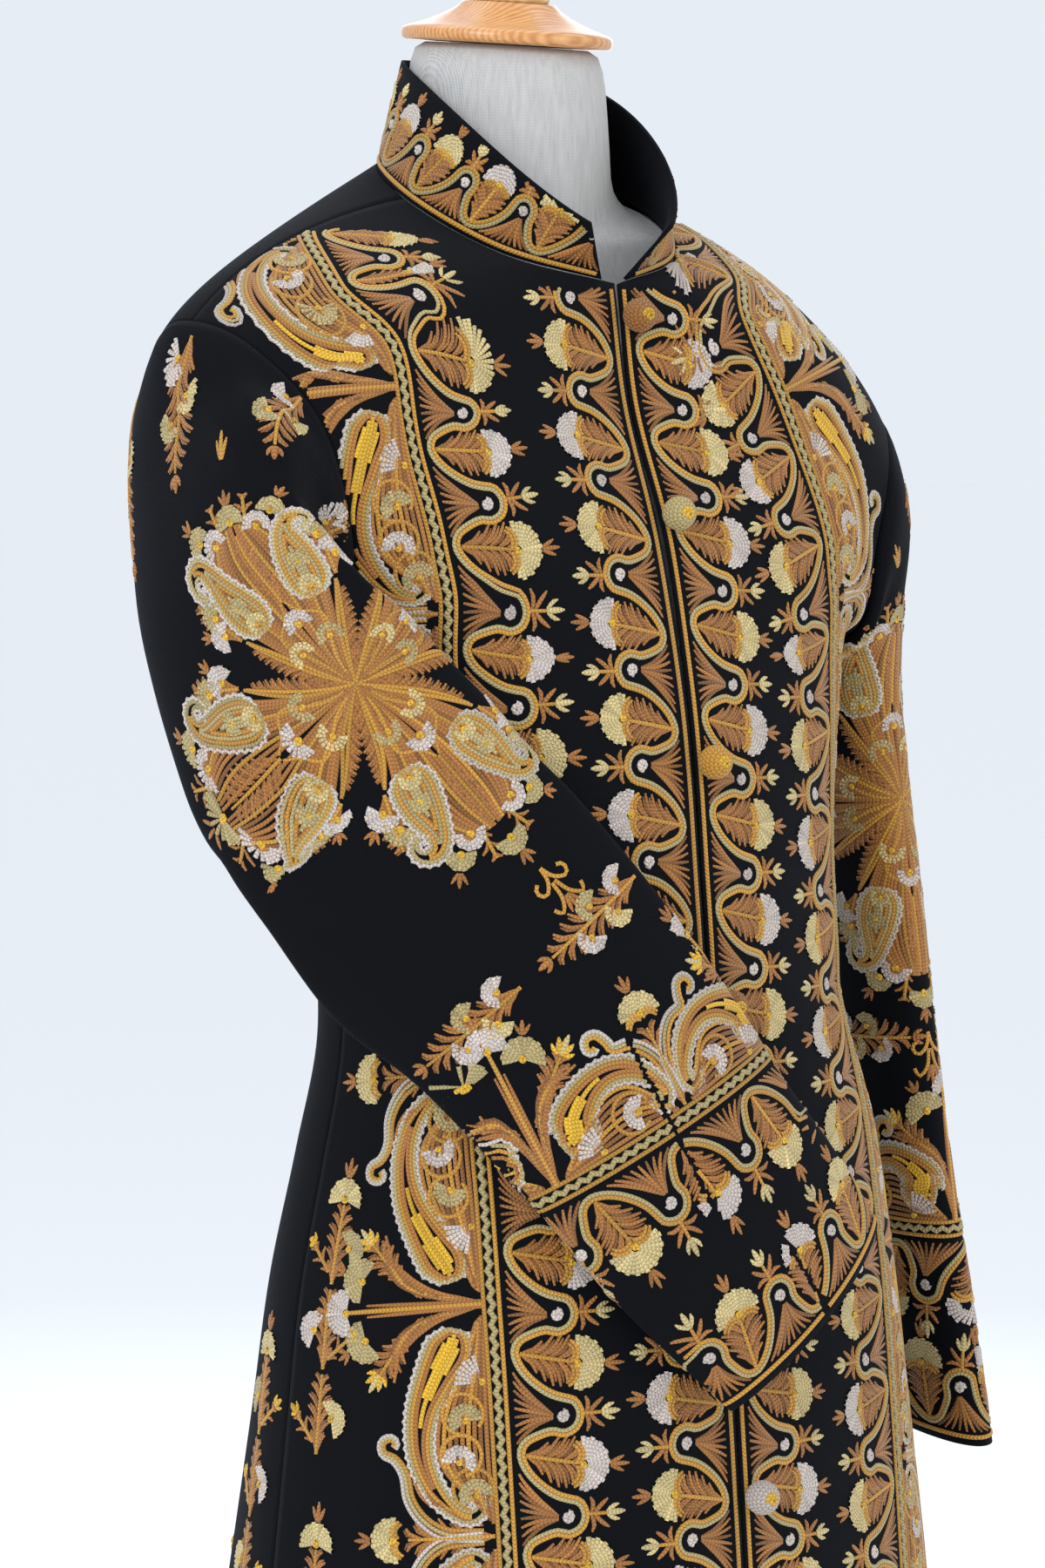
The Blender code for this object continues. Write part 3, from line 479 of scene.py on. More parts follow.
clothFolds = {
    "right": (
        (((-0.186, -0.036, 1.164), (-0.152, -0.070, 1.200), (-0.112, -0.076, 1.248)), 0.012, 0.0022, 0.035),
        (((-0.166, -0.026, 1.004), (-0.150, -0.072, 0.984), (-0.118, -0.104, 0.956)), 0.013, 0.0024, 0.040),
        (((-0.172, -0.018, 0.902), (-0.154, -0.078, 0.862), (-0.132, -0.112, 0.798)), 0.017, 0.0030, 0.060),
    ),
    "left": (
        (((0.186, -0.036, 1.160), (0.148, -0.072, 1.186), (0.104, -0.082, 1.216)), 0.013, 0.0020, 0.035),
        (((0.170, -0.022, 0.990), (0.148, -0.078, 0.962), (0.104, -0.112, 0.948)), 0.015, 0.0022, 0.045),
    ),
    "backRight": (
        (((-0.162, 0.040, 1.000), (-0.120, 0.084, 0.984), (-0.052, 0.096, 0.972)), 0.016, 0.0028, 0.050),
        (((-0.186, 0.062, 1.180), (-0.140, 0.106, 1.150), (-0.088, 0.116, 1.090)), 0.014, 0.0024, 0.045),
    ),
    "backLeft": (
        (((0.168, 0.040, 0.972), (0.118, 0.084, 0.952), (0.060, 0.092, 0.948)), 0.015, 0.0026, 0.050),
        (((0.186, 0.060, 1.172), (0.146, 0.104, 1.128), (0.108, 0.112, 1.060)), 0.016, 0.0022, 0.050),
    ),
    "sleeveRight": (
        (((-0.247, 0.046, 1.326), (-0.250, 0.008, 1.311), (-0.252, -0.021, 1.293), (-0.253, -0.056, 1.263),
          (-0.243, -0.074, 1.232)), 0.0065, 0.0030, 0.030),
        (((-0.254, 0.024, 1.306), (-0.256, -0.013, 1.291), (-0.255, -0.045, 1.271)), 0.0060, -0.0016, 0.025),
        (((-0.253, 0.030, 1.288), (-0.256, -0.010, 1.272), (-0.254, -0.040, 1.252)), 0.0070, 0.0022, 0.025),
        (((-0.244, 0.014, 1.074), (-0.235, -0.026, 1.089), (-0.214, -0.063, 1.094)), 0.0075, 0.0032, 0.030),
        (((-0.243, 0.008, 1.062), (-0.232, -0.036, 1.070), (-0.210, -0.068, 1.070)), 0.0070, -0.0018, 0.030),
        (((-0.241, 0.001, 1.050), (-0.229, -0.045, 1.051), (-0.203, -0.076, 1.044)), 0.0080, 0.0034, 0.030),
        (((-0.229, -0.040, 1.020), (-0.180, -0.085, 1.011), (-0.131, -0.118, 1.025)), 0.0120, 0.0020, 0.045),
    ),
    "sleeveLeft": (
        (((0.229, 0.104, 1.164), (0.250, 0.072, 1.152), (0.256, 0.030, 1.160)), 0.0100, 0.0024, 0.030),
        (((0.236, 0.098, 1.030), (0.256, 0.066, 1.018), (0.261, 0.016, 1.030)), 0.0110, 0.0028, 0.035),
        (((0.240, 0.094, 0.972), (0.262, 0.056, 0.958), (0.264, 0.002, 0.970)), 0.0130, 0.0024, 0.040),
        (((0.250, 0.082, 0.884), (0.270, 0.040, 0.872), (0.270, -0.010, 0.884)), 0.0120, 0.0018, 0.040),
    ),
}
columnsAcross = np.concatenate((np.linspace(0.0, 0.965, 66), (0.985, 1.0)))


def panelSurface(key, side, front):
    grid = halfSurface(side, panelPlaces(side, front), columnsAcross)
    return makeSurface(grid, False, side, clothFolds[key])


surfaces = {
    "right": panelSurface("right", -1, True),
    "left": panelSurface("left", 1, True),
    "backRight": panelSurface("backRight", -1, False),
    "backLeft": panelSurface("backLeft", 1, False),
    "sleeveRight": makeSurface(sleeveSurface(-1, rightSleeveRings), True, 1.0, clothFolds["sleeveRight"]),
    "sleeveLeft": makeSurface(sleeveSurface(1, leftSleeveRings), True, -1.0, clothFolds["sleeveLeft"]),
    "collar": makeSurface(collarSurface(), False, -1.0),
}
for name, surface in surfaces.items():
    print("surface", name, surface["points"].shape)

# Materials


def linear(hexColour):
    channels = [int(hexColour[k:k + 2], 16) / 255.0 for k in (1, 3, 5)]
    return tuple(c / 12.92 if c <= 0.04045 else ((c + 0.055) / 1.055) ** 2.4 for c in channels) + (1.0,)


# Adds a node: settings are its own properties, inputs are values or sockets to link
def addNode(tree, kind, inputs=None, **settings):
    node = tree.nodes.new(kind)
    for name, value in settings.items():
        setattr(node, name, value)
    for name, value in (inputs or {}).items():
        socket = node.inputs[name]
        if isinstance(value, bpy.types.NodeSocket):
            tree.links.new(value, socket)
        else:
            socket.default_value = value
    return node


def newMaterial(name, constants):
    material = bpy.data.materials.new(name)
    material.use_nodes = True
    tree = material.node_tree
    tree.nodes.clear()
    shader = addNode(tree, "ShaderNodeBsdfPrincipled", constants)
    output = addNode(tree, "ShaderNodeOutputMaterial")
    tree.links.new(shader.outputs["BSDF"], output.inputs["Surface"])
    return material, tree, shader


def calculated(tree, operation, *values):
    return addNode(tree, "ShaderNodeMath", dict(enumerate(values)), operation=operation).outputs[0]


# Bands so many millimetres apart
def bandsOf(tree, vector, spacing, direction, distortion, detail, detailScale=1.0):
    return addNode(tree, "ShaderNodeTexWave", {
        "Vector": vector, "Scale": 2.0 * math.pi / (20.0 * spacing / 1000.0),
        "Distortion": distortion, "Detail": detail, "Detail Scale": detailScale,
    }, wave_type="BANDS", bands_direction=direction).outputs["Fac"]


# Colours a shader between two tones and gives it a fine relief
def textured(tree, shader, factor, tones, height, strength, depth):
    colour = addNode(tree, "ShaderNodeMix", {
        "Factor": factor, "A": linear(tones[0]), "B": linear(tones[1]),
    }, data_type="RGBA")
    tree.links.new(colour.outputs["Result"], shader.inputs["Base Color"])
    bump = addNode(tree, "ShaderNodeBump", {"Height": height, "Strength": strength, "Distance": depth})
    tree.links.new(bump.outputs["Normal"], shader.inputs["Normal"])


# Black fine wool twill: close woven, soft, with a faint nap that lifts the edges
wool = {
    "deep": "#030407",
    "raised": "#0a0c12",
    "weaveMm": 0.9,        # drawn coarser than the real 0.4 mm so that it shows
    "roughness": 0.86,
    "sheen": 0.045,
}


# The weave is turned by fall, in degrees, to follow a bent piece
def woolMaterial(name, fall):
    material, tree, shader = newMaterial(name, {
        "Roughness": wool["roughness"], "IOR": 1.5, "Sheen Weight": wool["sheen"], "Sheen Roughness": 0.45,
        "Sheen Tint": linear("#8d97a8"), "Specular IOR Level": 0.12,
    })
    place = addNode(tree, "ShaderNodeTexCoord").outputs["Object"]
    turned = addNode(tree, "ShaderNodeMapping", {"Vector": place, "Rotation": (0.0, math.radians(fall), 0.0)})
    twill = bandsOf(tree, turned.outputs["Vector"], wool["weaveMm"], "DIAGONAL", 1.2, 2.0, 1.5)
    fuzz = addNode(tree, "ShaderNodeTexNoise", {"Vector": place, "Scale": 900.0, "Detail": 3.0})
    woven = calculated(tree, "MULTIPLY", twill, fuzz.outputs["Fac"])
    textured(tree, shader, woven, (wool["deep"], wool["raised"]), woven, 0.5, 0.0004)
    return material


# Plain grey linen on the form: slubby threads across and down
linen = {
    "light": "#cdcbc8",
    "dark": "#a9a6a2",
    "threadMm": 0.7,
}


def linenMaterial():
    material, tree, shader = newMaterial("linenCloth", {
        "Roughness": 0.9, "IOR": 1.5, "Sheen Weight": 0.15, "Sheen Roughness": 0.5,
    })
    place = addNode(tree, "ShaderNodeTexCoord").outputs["Object"]
    down = bandsOf(tree, place, linen["threadMm"], "X", 2.5, 2.0)
    across = bandsOf(tree, place, linen["threadMm"], "Z", 2.5, 2.0)
    stretched = addNode(tree, "ShaderNodeMapping", {"Vector": place, "Scale": (420.0, 420.0, 60.0)})
    slubs = addNode(tree, "ShaderNodeTexNoise", {
        "Vector": stretched.outputs["Vector"], "Scale": 1.0, "Detail": 4.0,
    })
    height = calculated(tree, "ADD", calculated(tree, "MULTIPLY", down, across), slubs.outputs["Fac"])
    ramp = addNode(tree, "ShaderNodeMapRange", {"Value": height, "From Min": 0.35, "From Max": 1.25})
    textured(tree, shader, ramp.outputs["Result"], (linen["dark"], linen["light"]), height, 0.45, 0.0003)
    return material


# Turned beech under clear varnish: straight fine grain, small dark rays, a soft gloss
beech = {
    "cap": {"light": "#dda263", "dark": "#b5702f", "gloss": 0.22},
    "knob": {"light": "#ecd0a0", "dark": "#d3a968", "gloss": 0.42},
    "base": {"light": "#d79a58", "dark": "#a9662b", "gloss": 0.28},
    "grainMm": 3.0,
}


def beechMaterial(name, finish):
    material, tree, shader = newMaterial(name, {
        "Roughness": 0.45, "IOR": 1.5, "Coat Weight": 0.6, "Coat Roughness": finish["gloss"], "Coat IOR": 1.5,
    })
    place = addNode(tree, "ShaderNodeTexCoord").outputs["Object"]
    along = addNode(tree, "ShaderNodeMapping", {"Vector": place, "Scale": (30.0, 330.0, 330.0)})
    fibres = addNode(tree, "ShaderNodeTexNoise", {
        "Vector": along.outputs["Vector"], "Scale": 1.0, "Detail": 5.0, "Roughness": 0.6,
    }).outputs["Fac"]
    rings = bandsOf(tree, place, beech["grainMm"], "Y", 4.0, 3.0, 0.6)
    total = calculated(tree, "ADD", fibres, calculated(tree, "MULTIPLY", rings, 0.45))
    ramp = addNode(tree, "ShaderNodeMapRange", {"Value": total, "From Min": 0.35, "From Max": 1.05})
    textured(tree, shader, ramp.outputs["Result"], (finish["dark"], finish["light"]), fibres, 0.12, 0.0004)
    return material


# Black powder-coated steel tube for the pole: fine orange-peel texture, half matt
def steelMaterial():
    finish = {"Roughness": 0.42, "Metallic": 0.0, "IOR": 1.5}
    material, tree, shader = newMaterial("powderCoatedSteel", finish)
    place = addNode(tree, "ShaderNodeTexCoord").outputs["Object"]
    peel = addNode(tree, "ShaderNodeTexNoise", {"Vector": place, "Scale": 700.0, "Detail": 2.0})
    grain = peel.outputs["Fac"]
    textured(tree, shader, grain, ("#17181a", "#242629"), grain, 0.25, 0.0003)
    return material


# Pieces


def addPiece(name, mesh, material):
    piece = bpy.data.objects.new(name, mesh)
    bpy.context.scene.collection.objects.link(piece)
    mesh.materials.clear()
    mesh.materials.append(material)
    mesh.polygons.foreach_set("use_smooth", np.ones(len(mesh.polygons), bool))
    return piece


def gridFaces(index, closed=False, flip=False):
    after = np.roll(index, -1, axis=1) if closed else index[:, 1:]
    before = index if closed else index[:, :-1]
    faces = np.stack((before[:-1], after[:-1], after[1:], before[1:]), axis=-1).reshape(-1, 4)
    return faces[:, ::-1] if flip else faces


def gridMesh(name, points, faces):
    mesh = bpy.data.meshes.new(name)
    used, numbers = np.unique(faces, return_inverse=True)
    mesh.from_pydata(points[used].tolist(), [], numbers.reshape(faces.shape).tolist())
    mesh.update()
    return mesh


# Rings of points joined by faces, with a flat cap at each end
def cappedMesh(name, grid):
    index = np.arange(grid.shape[0] * grid.shape[1]).reshape(grid.shape[:2])
    faces = gridFaces(index, True).tolist()
    faces.append(index[0, ::-1].tolist())
    faces.append(index[-1].tolist())
    mesh = bpy.data.meshes.new(name)
    mesh.from_pydata(grid.reshape(-1, 3).tolist(), [], faces)
    mesh.update()
    return mesh


def clothPiece(name, points, faces, material):
    piece = addPiece(name, gridMesh(name, points, faces), material)
    wall = piece.modifiers.new("Wall", "SOLIDIFY")
    wall.thickness = clothCut["thickness"]
    wall.offset = -1.0
    return piece


def clothGrid(name, surface, material, flip=False):
    grid = surface["points"]
    index = np.arange(grid.shape[0] * grid.shape[1]).reshape(grid.shape[:2])
    return clothPiece(name, grid.reshape(-1, 3), gridFaces(index, surface["closed"], flip), material)


def backPiece(name, material):
    places = np.array(panelPlaces(-1, False))
    right = surfaces["backRight"]["points"]
    left = surfaces["backLeft"]["points"]
    nape = int(np.argmin(np.abs(places - halfKnots(-1)[napeRow])))
    middle = 0.5 * (right[nape:, 0] + left[nape:, 0])
    middle[:, 0] = 0.0
    right[nape:, 0] = middle
    left[nape:, 0] = middle
    index = np.arange(right.shape[0] * right.shape[1]).reshape(right.shape[:2])
    leftIndex = index + index.size
    leftIndex[nape:, 0] = index[nape:, 0]
    points = np.concatenate((right.reshape(-1, 3), left.reshape(-1, 3)))
    faces = np.concatenate((gridFaces(index, flip=True), gridFaces(leftIndex)))
    return clothPiece(name, points, faces, material)


jacketPieces = {
    "frontRight": clothGrid(
        "jacketFrontRight", surfaces["right"], woolMaterial("woolFrontRight", 0.0), flip=True),
    "frontLeft": clothGrid("jacketFrontLeft", surfaces["left"], woolMaterial("woolFrontLeft", 0.0)),
    "back": backPiece("jacketBack", woolMaterial("woolBack", 0.0)),
    "sleeveRight": clothGrid(
        "jacketSleeveRight", surfaces["sleeveRight"], woolMaterial("woolSleeveRight", 40.0)),
    "sleeveLeft": clothGrid(
        "jacketSleeveLeft", surfaces["sleeveLeft"], woolMaterial("woolSleeveLeft", 0.0), flip=True),
    "collar": clothGrid("jacketCollar", surfaces["collar"], woolMaterial("woolCollar", 0.0), flip=True),
}
replaced = {
    "frontRight": (("jacket_front_right",), "wool_front_right"),
    "frontLeft": (("jacket_front_left",), "wool_front_left"),
    "back": (("jacket_back",), "wool_back"),
    "sleeveRight": (("sleeve_right_outer", "sleeve_right_inner"), "wool_sleeve_right_outer"),
    "sleeveLeft": (("sleeve_left_outer", "sleeve_left_inner"), "wool_sleeve_left_outer"),
    "collar": (("collar",), "wool_collar"),
}
for key, piece in jacketPieces.items():
    nodes, slotName = replaced[key]
    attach(piece, "root")
    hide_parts(*nodes)
print("cloth made")

# Dress form

# height, half width, front, back, place of the widest point
formRings = (
    (0.780, 0.140, -0.094, 0.084, 0.000),
    (0.786, 0.153, -0.108, 0.092, 0.000),
    (0.860, 0.158, -0.116, 0.090, 0.000),
    (0.943, 0.146, -0.108, 0.080, 0.000),
    (1.024, 0.149, -0.101, 0.087, 0.000),
    (1.090, 0.159, -0.094, 0.095, 0.004),
    (1.150, 0.168, -0.085, 0.102, 0.010),
    (1.215, 0.174, -0.068, 0.110, 0.020),
    (1.265, 0.182, -0.052, 0.114, 0.026),
    (1.300, 0.187, -0.036, 0.113, 0.032),
    (1.325, 0.184, -0.026, 0.108, 0.036),
    (1.352, 0.176, -0.016, 0.101, 0.038),
    (1.372, 0.160, -0.010, 0.096, 0.040),
    (1.388, 0.138, -0.005, 0.094, 0.042),
    (1.400, 0.112, -0.003, 0.096, 0.045),
    (1.405, 0.090, -0.001, 0.100, 0.050),
    (1.412, 0.074, 0.001, 0.107, 0.054),
    (1.424, 0.0630, 0.001, 0.112, 0.056),
    (1.440, 0.0590, 0.0005, 0.1150, 0.0578),
    (1.465, 0.0570, 0.0015, 0.1145, 0.0580),
    (1.484, 0.0548, 0.0035, 0.1125, 0.0580),
    (1.492, 0.0520, 0.0060, 0.1100, 0.0580),
    (1.4955, 0.0465, 0.0115, 0.1045, 0.0580),
)
formShape = {
    "columns": 132,
    "rowStep": 0.008,
    "slope": 0.35,
    "slopeFrom": 1.33,
    "reach": 0.0035,
    "squareness": 2.35,
    "squareBelow": 1.30,
    "neckRingHeight": 1.424,
    "tiltedFrom": 1.484,
    "neckTilt": math.radians(5.5),
    "neckCentreY": 0.058,
    "neckTop": 1.4960,
}


def formPoints():
    points = []
    for height, width, front, back, centre in formRings:
        square = formShape["squareness"] if height < formShape["squareBelow"] else 2.0
        neck = formShape["neckRingHeight"]
        lean = max(0.0, min(1.0, (height - neck) / (formShape["tiltedFrom"] - neck)))
        for k in range(formShape["columns"]):
            turn = 2.0 * math.pi * k / formShape["columns"]
            c = math.cos(turn)
            s = math.sin(turn)
            x = width * math.copysign(abs(c) ** (2.0 / square), c)
            depth = (back - centre) if s > 0.0 else (centre - front)
            y = centre + depth * math.copysign(abs(s) ** (2.0 / square), s)
            z = height + lean * (y - formShape["neckCentreY"]) * math.tan(formShape["neckTilt"])
            if formShape["slopeFrom"] < height < formShape["neckRingHeight"] + 0.001:
                z -= formShape["slope"] * max(0.0, centre - y)
            points.append((x, y, z))
    points = np.array(points)
    samples = []
    for side in (-1, 1):
        knots = halfKnots(side)
        places = list(np.linspace(knots[armpitRow + 1], knots[armpitBackRow - 1], 200))
        samples.append(halfSurface(side, places, np.linspace(0.0, 1.0, 80)).reshape(-1, 3))
    samples = np.concatenate(samples)
    limit = np.full(len(points), math.inf)
    for k, (x, y, _) in enumerate(points):
        near = (samples[:, 0] - x) ** 2 + (samples[:, 1] - y) ** 2 < formShape["reach"] ** 2
        if near.any():
            limit[k] = samples[near, 2].min() - 1.1 * clothCut["thickness"] - clothCut["seamGap"]
    neck = points[:, 2] > formShape["neckRingHeight"] - 0.0005
    points[:, 2] = np.where(neck, points[:, 2], np.minimum(points[:, 2], limit))
    return points.reshape(len(formRings), formShape["columns"], 3)


def formPiece(material):
    rings = formPoints()
    knots = rowKnots(rings)
    grid = rowsThrough(rings, knots, evenPlaces(knots, formShape["rowStep"]))
    return addPiece("formCover", cappedMesh("formCover", grid), material)


def rounded(profile, step):
    points = np.array(profile)
    lengths = lengthsAlong(points)
    out = [points[0]]
    for k in range(len(points) - 1):
        leaving = 0.5 * (points[k + 1] - points[max(k - 1, 0)])
        arriving = 0.5 * (points[min(k + 2, len(points) - 1)] - points[k])
        parts = max(1, int(round((lengths[k + 1] - lengths[k]) / step)))
        for j in range(1, parts + 1):
            out.append(hermite(j / parts, points[k], points[k + 1], leaving, arriving))
    return out


# A turned piece: radius and height pairs swept round an aim that starts at the centre
def turnedPiece(name, profile, axis, steps, material):
    centre, aim = axis
    turn = 2.0 * math.pi * np.arange(steps) / steps
    grid = np.array([
        np.stack((radius * np.cos(turn), radius * np.sin(turn), np.full(steps, height)), axis=1)
        for radius, height in profile
    ])
    spin = np.array(Vector(aim).to_track_quat("Z", "Y").to_matrix())
    return addPiece(name, cappedMesh(name, grid @ spin.T + np.asarray(centre)), material)


turned = {
    "cap": ((0.0575, 0.0), (0.0592, 0.0008), (0.0601, 0.0025), (0.0602, 0.0050), (0.0594, 0.0068),
            (0.0570, 0.0082), (0.0500, 0.0105), (0.0430, 0.0132), (0.0360, 0.0165), (0.0305, 0.0198),
            (0.0262, 0.0235)),
    "knob": ((0.0222, 0.0238), (0.0232, 0.0262), (0.0231, 0.0300), (0.0221, 0.0360), (0.0214, 0.0440),
             (0.0220, 0.0520), (0.0224, 0.0580), (0.0216, 0.0650), (0.0196, 0.0705), (0.0160, 0.0752),
             (0.0120, 0.0780), (0.0040, 0.0803)),
    "base": ((0.1850, 0.0), (0.1888, 0.0012), (0.1900, 0.0040), (0.1900, 0.0180), (0.1888, 0.0216),
             (0.1850, 0.0240), (0.1300, 0.0270), (0.0600, 0.0300), (0.0420, 0.0328), (0.0300, 0.0372),
             (0.0262, 0.0430), (0.0256, 0.0460)),
    "pole": ((0.0146, 0.0464), (0.015, 0.0470), (0.015, 0.7792), (0.0146, 0.7796)),
}
neckAxis = (
    (0.0, formShape["neckCentreY"], formShape["neckTop"] + 0.0003),
    (0.0, -math.sin(formShape["neckTilt"]), math.cos(formShape["neckTilt"])),
)
upright = ((0, 0, 0), (0, 0, 1))
capWood = beechMaterial("varnishedBeech", beech["cap"])
knobWood = beechMaterial("paleBeech", beech["knob"])
baseWood = beechMaterial("stainedBeech", beech["base"])
capProfile = rounded(turned["cap"], 0.0012)
knobProfile = rounded(turned["knob"], 0.002)
baseProfile = rounded(turned["base"], 0.003)
standPieces = (
    (formPiece(linenMaterial()), "form_torso", "linen_cover"),
    (turnedPiece("neckCap", capProfile, neckAxis, 128, capWood), "form_cap", "varnished_wood"),
    (turnedPiece("neckKnob", knobProfile, neckAxis, 96, knobWood), "form_cap_knob", "pale_wood"),
    (turnedPiece("standPole", turned["pole"], upright, 64, steelMaterial()), "form_pole", "stand_metal"),
    (turnedPiece("standBase", baseProfile, upright, 160, baseWood), "form_base", "base_wood"),
)
for piece, node, slotName in standPieces:
    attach(piece, "root")
    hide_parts(node)
print("form made")

# Embroidery

# Chain stitch in silky wool thread, hooked row by row: a soft gloss along each row, and loops about 2 mm long
# that catch the light; the thread's colour also holds painted shade in the grooves and a faint painted
# highlight on the loops
threads = {
    "copper": "#a56a2c",
    "rust": "#84531f",
    "gold": "#c08a2c",
    "sage": "#b19e69",
    "cream": "#cdb87e",
    "white": "#c8bab0",
    "yellow": "#dbaa22",
}
stitch = {
    "step": 3.2,          # mm between points along a row of stitches
    "row": 2.3,           # mm, width of one row
    "halfWidth": 0.00057, # m for each mm of width: neighbouring rows swell into each other
    "riseShare": 0.42,    # height of a row as a share of its width
    "sides": 3,           # faces round a row's crown
    "sink": 0.00025,      # m that a row is drawn into the cloth
    "lift": 0.0006,       # m for each step that a row lies over the ones below
    "loopMm": 2.2,        # length of one chain loop
    "vary": 0.09,         # how unevenly the thread takes its dye
    "seed": 11,
}


# Points of a line at the places, where its own points lie at the lengths
def pointsAt(places, lengths, points):
    return np.stack([np.interp(places, lengths, column) for column in points.T], axis=1)


# A smooth line through the points, as even steps
def through(points, step=None):
    points = np.asarray(points, float)
    if len(points) > 2:
        ends = np.vstack((2 * points[0] - points[1], points, 2 * points[-1] - points[-2]))
        t = (np.arange(8) / 8.0)[None, :, None]
        a, b, c, d = (ends[k:len(ends) - 3 + k, None] for k in range(4))
        curve = 2 * b + (c - a) * t + (2 * a - 5 * b + 4 * c - d) * t ** 2
        dense = 0.5 * (curve + (3 * b - a - 3 * c + d) * t ** 3)
        points = np.vstack((dense.reshape(-1, 2), points[-1:]))
    lengths = lengthsAlong(points)
    count = max(1, int(math.ceil(lengths[-1] / (step or stitch["step"]))))
    return pointsAt(np.linspace(0.0, lengths[-1], count + 1), lengths, points)


# One row of stitches: points in mm, widths along it, its thread and how far it is raised
def row(points, colour, width=None, start=1.0, end=1.0, step=None, lift=0.0):
    line = through(points, step)
    share = np.linspace(0.0, 1.0, len(line))
    widths = (width or stitch["row"]) * np.interp(share, (0.0, 0.25, 0.7, 1.0), (start, 1.0, 1.0, end))
    return (line, widths, colour, lift)


def evenRow(line, width, colour, lift):
    return (line, np.full(len(line), width), colour, lift)


def placed(rows, at, turn=0.0):
    c, s = math.cos(math.radians(turn)), math.sin(math.radians(turn))
    out = []
    for line, widths, colour, lift in rows:
        x, y = line.T
        out.append((np.stack((at[0] + c * x - s * y, at[1] + s * x + c * y), axis=1), widths, colour, lift))
    return out


# Rows stretched or mirrored by a scale, then shifted
def moved(rows, scale, shift=(0.0, 0.0)):
    return [(line * scale + shift, widths, colour, lift) for line, widths, colour, lift in rows]


def lifted(rows, more):
    return [(line, widths, colour, lift + more) for line, widths, colour, lift in rows]


# Stretches of two or more kept points
def keptRuns(keep):
    edges = np.flatnonzero(np.diff(np.concatenate(([False], keep, [False])).astype(int)))
    return [slice(a, b) for a, b in zip(edges[::2], edges[1::2]) if b - a >= 2]


# Keeps what lies between two lengths
def trimmed(rows, cut):
    out = []
    for line, widths, colour, lift in rows:
        for part in keptRuns((line[:, 0] >= cut[0]) & (line[:, 0] <= cut[1])):
            out.append((line[part], widths[part], colour, lift))
    return out


def sideways(line, offset):
    direction = np.gradient(line, axis=0)
    direction /= np.maximum(np.linalg.norm(direction, axis=1, keepdims=True), 1e-9)
    return line + np.stack((-direction[:, 1], direction[:, 0]), axis=1) * np.asarray(offset).reshape(-1, 1)


# A dot filled by a spiral
def dot(radius, colour, lift=0.0):
    width = min(2.2, radius)
    turns = max(1.0, radius / width)
    a = np.linspace(0.0, 2.0 * math.pi * turns, int(7 * turns) + 3)
    r = (radius - 0.5 * width) * (1.0 - a / a[-1]) + 0.15
    return [evenRow(np.stack((r * np.cos(a), r * np.sin(a)), axis=1), width * 1.08, colour, lift)]


# Satin petals spread like a fan round the x axis, with a yellow knot
def fanFlower(radius, colour, spread=190.0, knot=2.6):
    petals = max(7, int(round(math.radians(spread) * radius / 2.75)))
    rows = []
    for k in range(petals):
        a = math.radians(spread) * (k / (petals - 1.0) - 0.5)
        reach = radius * (1.0 - 0.05 * (k % 2))
        ray = np.array((math.cos(a), math.sin(a)))
        line = np.array([ray * radius * 0.16, ray * reach * 0.62, ray * reach])
        wide = reach * math.radians(spread) / petals
        rows.append((line, np.array((1.1, 0.88 * wide, 1.04 * wide)), colour, 0.0))
    return rows + dot(knot, "yellow", 0.5)


# Three short petals that close a motif
def bud(length, colour):
    wide = 2.6
    rows = [row(((0, 0), (0.5 * length, 0), (length, 0)), colour, wide, 0.6, 0.45, 3.5)]
    for side in (-1, 1):
        petal = ((0, side * 0.8), (0.45 * length, side * 2.9), (0.72 * length, side * 4.3))
        rows.append(row(petal, colour, wide * 0.9, 0.6, 0.45, 3.5))
    return rows


def leafTip(length, colour):
    rows = [row(((0, 0), (0.55 * length, 0), (length, 0)), colour, 3.4, 0.4, 0.35, 3.4)]
    for side in (-1, 1):
        leaf = ((0.05 * length, side * 0.8), (0.42 * length, side * 3.4), (0.7 * length, side * 4.2))
        rows.append(row(leaf, colour, 2.5, 0.5, 0.4, 3.4))
    return rows


# Curved rows that leave a gold vein on one side or both, like a feather
def plume(length, wide, pairs, colour, sides=(-1, 1), double=True, start=0.04, lean=0.30):
    rows = []
    for side in sides:
        for k in range(pairs):
            t = k / (pairs - 1.0)
            foot = length * (start + (0.80 - start) * t)
            reach = wide * math.sin(math.pi * (0.18 + 0.66 * t)) ** 0.8
            tip = foot + length * lean * (1.0 - 0.35 * t) * (0.6 + 0.4 * reach / wide)
            mid = (0.5 * (foot + tip) + 0.10 * length * lean, side * reach * 0.42)
            rows.append(row(((foot, side * 0.8), mid, (tip, side * reach)), colour, 2.2, 0.5, 0.62, 4.2))
            if double:
                beside = ((foot + 1.6, side * 1.0), (mid[0] + 2.0, mid[1] * 0.92),
                          (tip + 1.2, side * reach * 0.84))
                rows.append(row(beside, "rust" if k % 2 else colour, 1.9, 0.5, 0.5, 4.6))
    rows.append(row(((0, 0), (0.5 * length, 0), (0.94 * length, 0)), "gold", 2.2, 1.0, 0.7, lift=0.25))
    return rows


# Calyx: two curled bands that cup the flower
def calyx(wide):
    rows = []
    for side in (-1, 1):
        a, b, c, d, e = (side * share * wide for share in (0.40, 0.75, 1.0, 0.70, 0.86))
        outer = ((0.6, 0), (2.4, a), (1.2, b), (-2.6, c))
        inner = ((-1.4, side * 0.6), (0.2, a), (-1.3, d), (-4.0, e))
        rows.append(row(outer, "gold", 2.5, 1.0, 0.6, 2.8, 0.15))
        rows.append(row(inner, "gold", 2.3, 1.0, 0.6, 2.8, 0.1))
    return rows


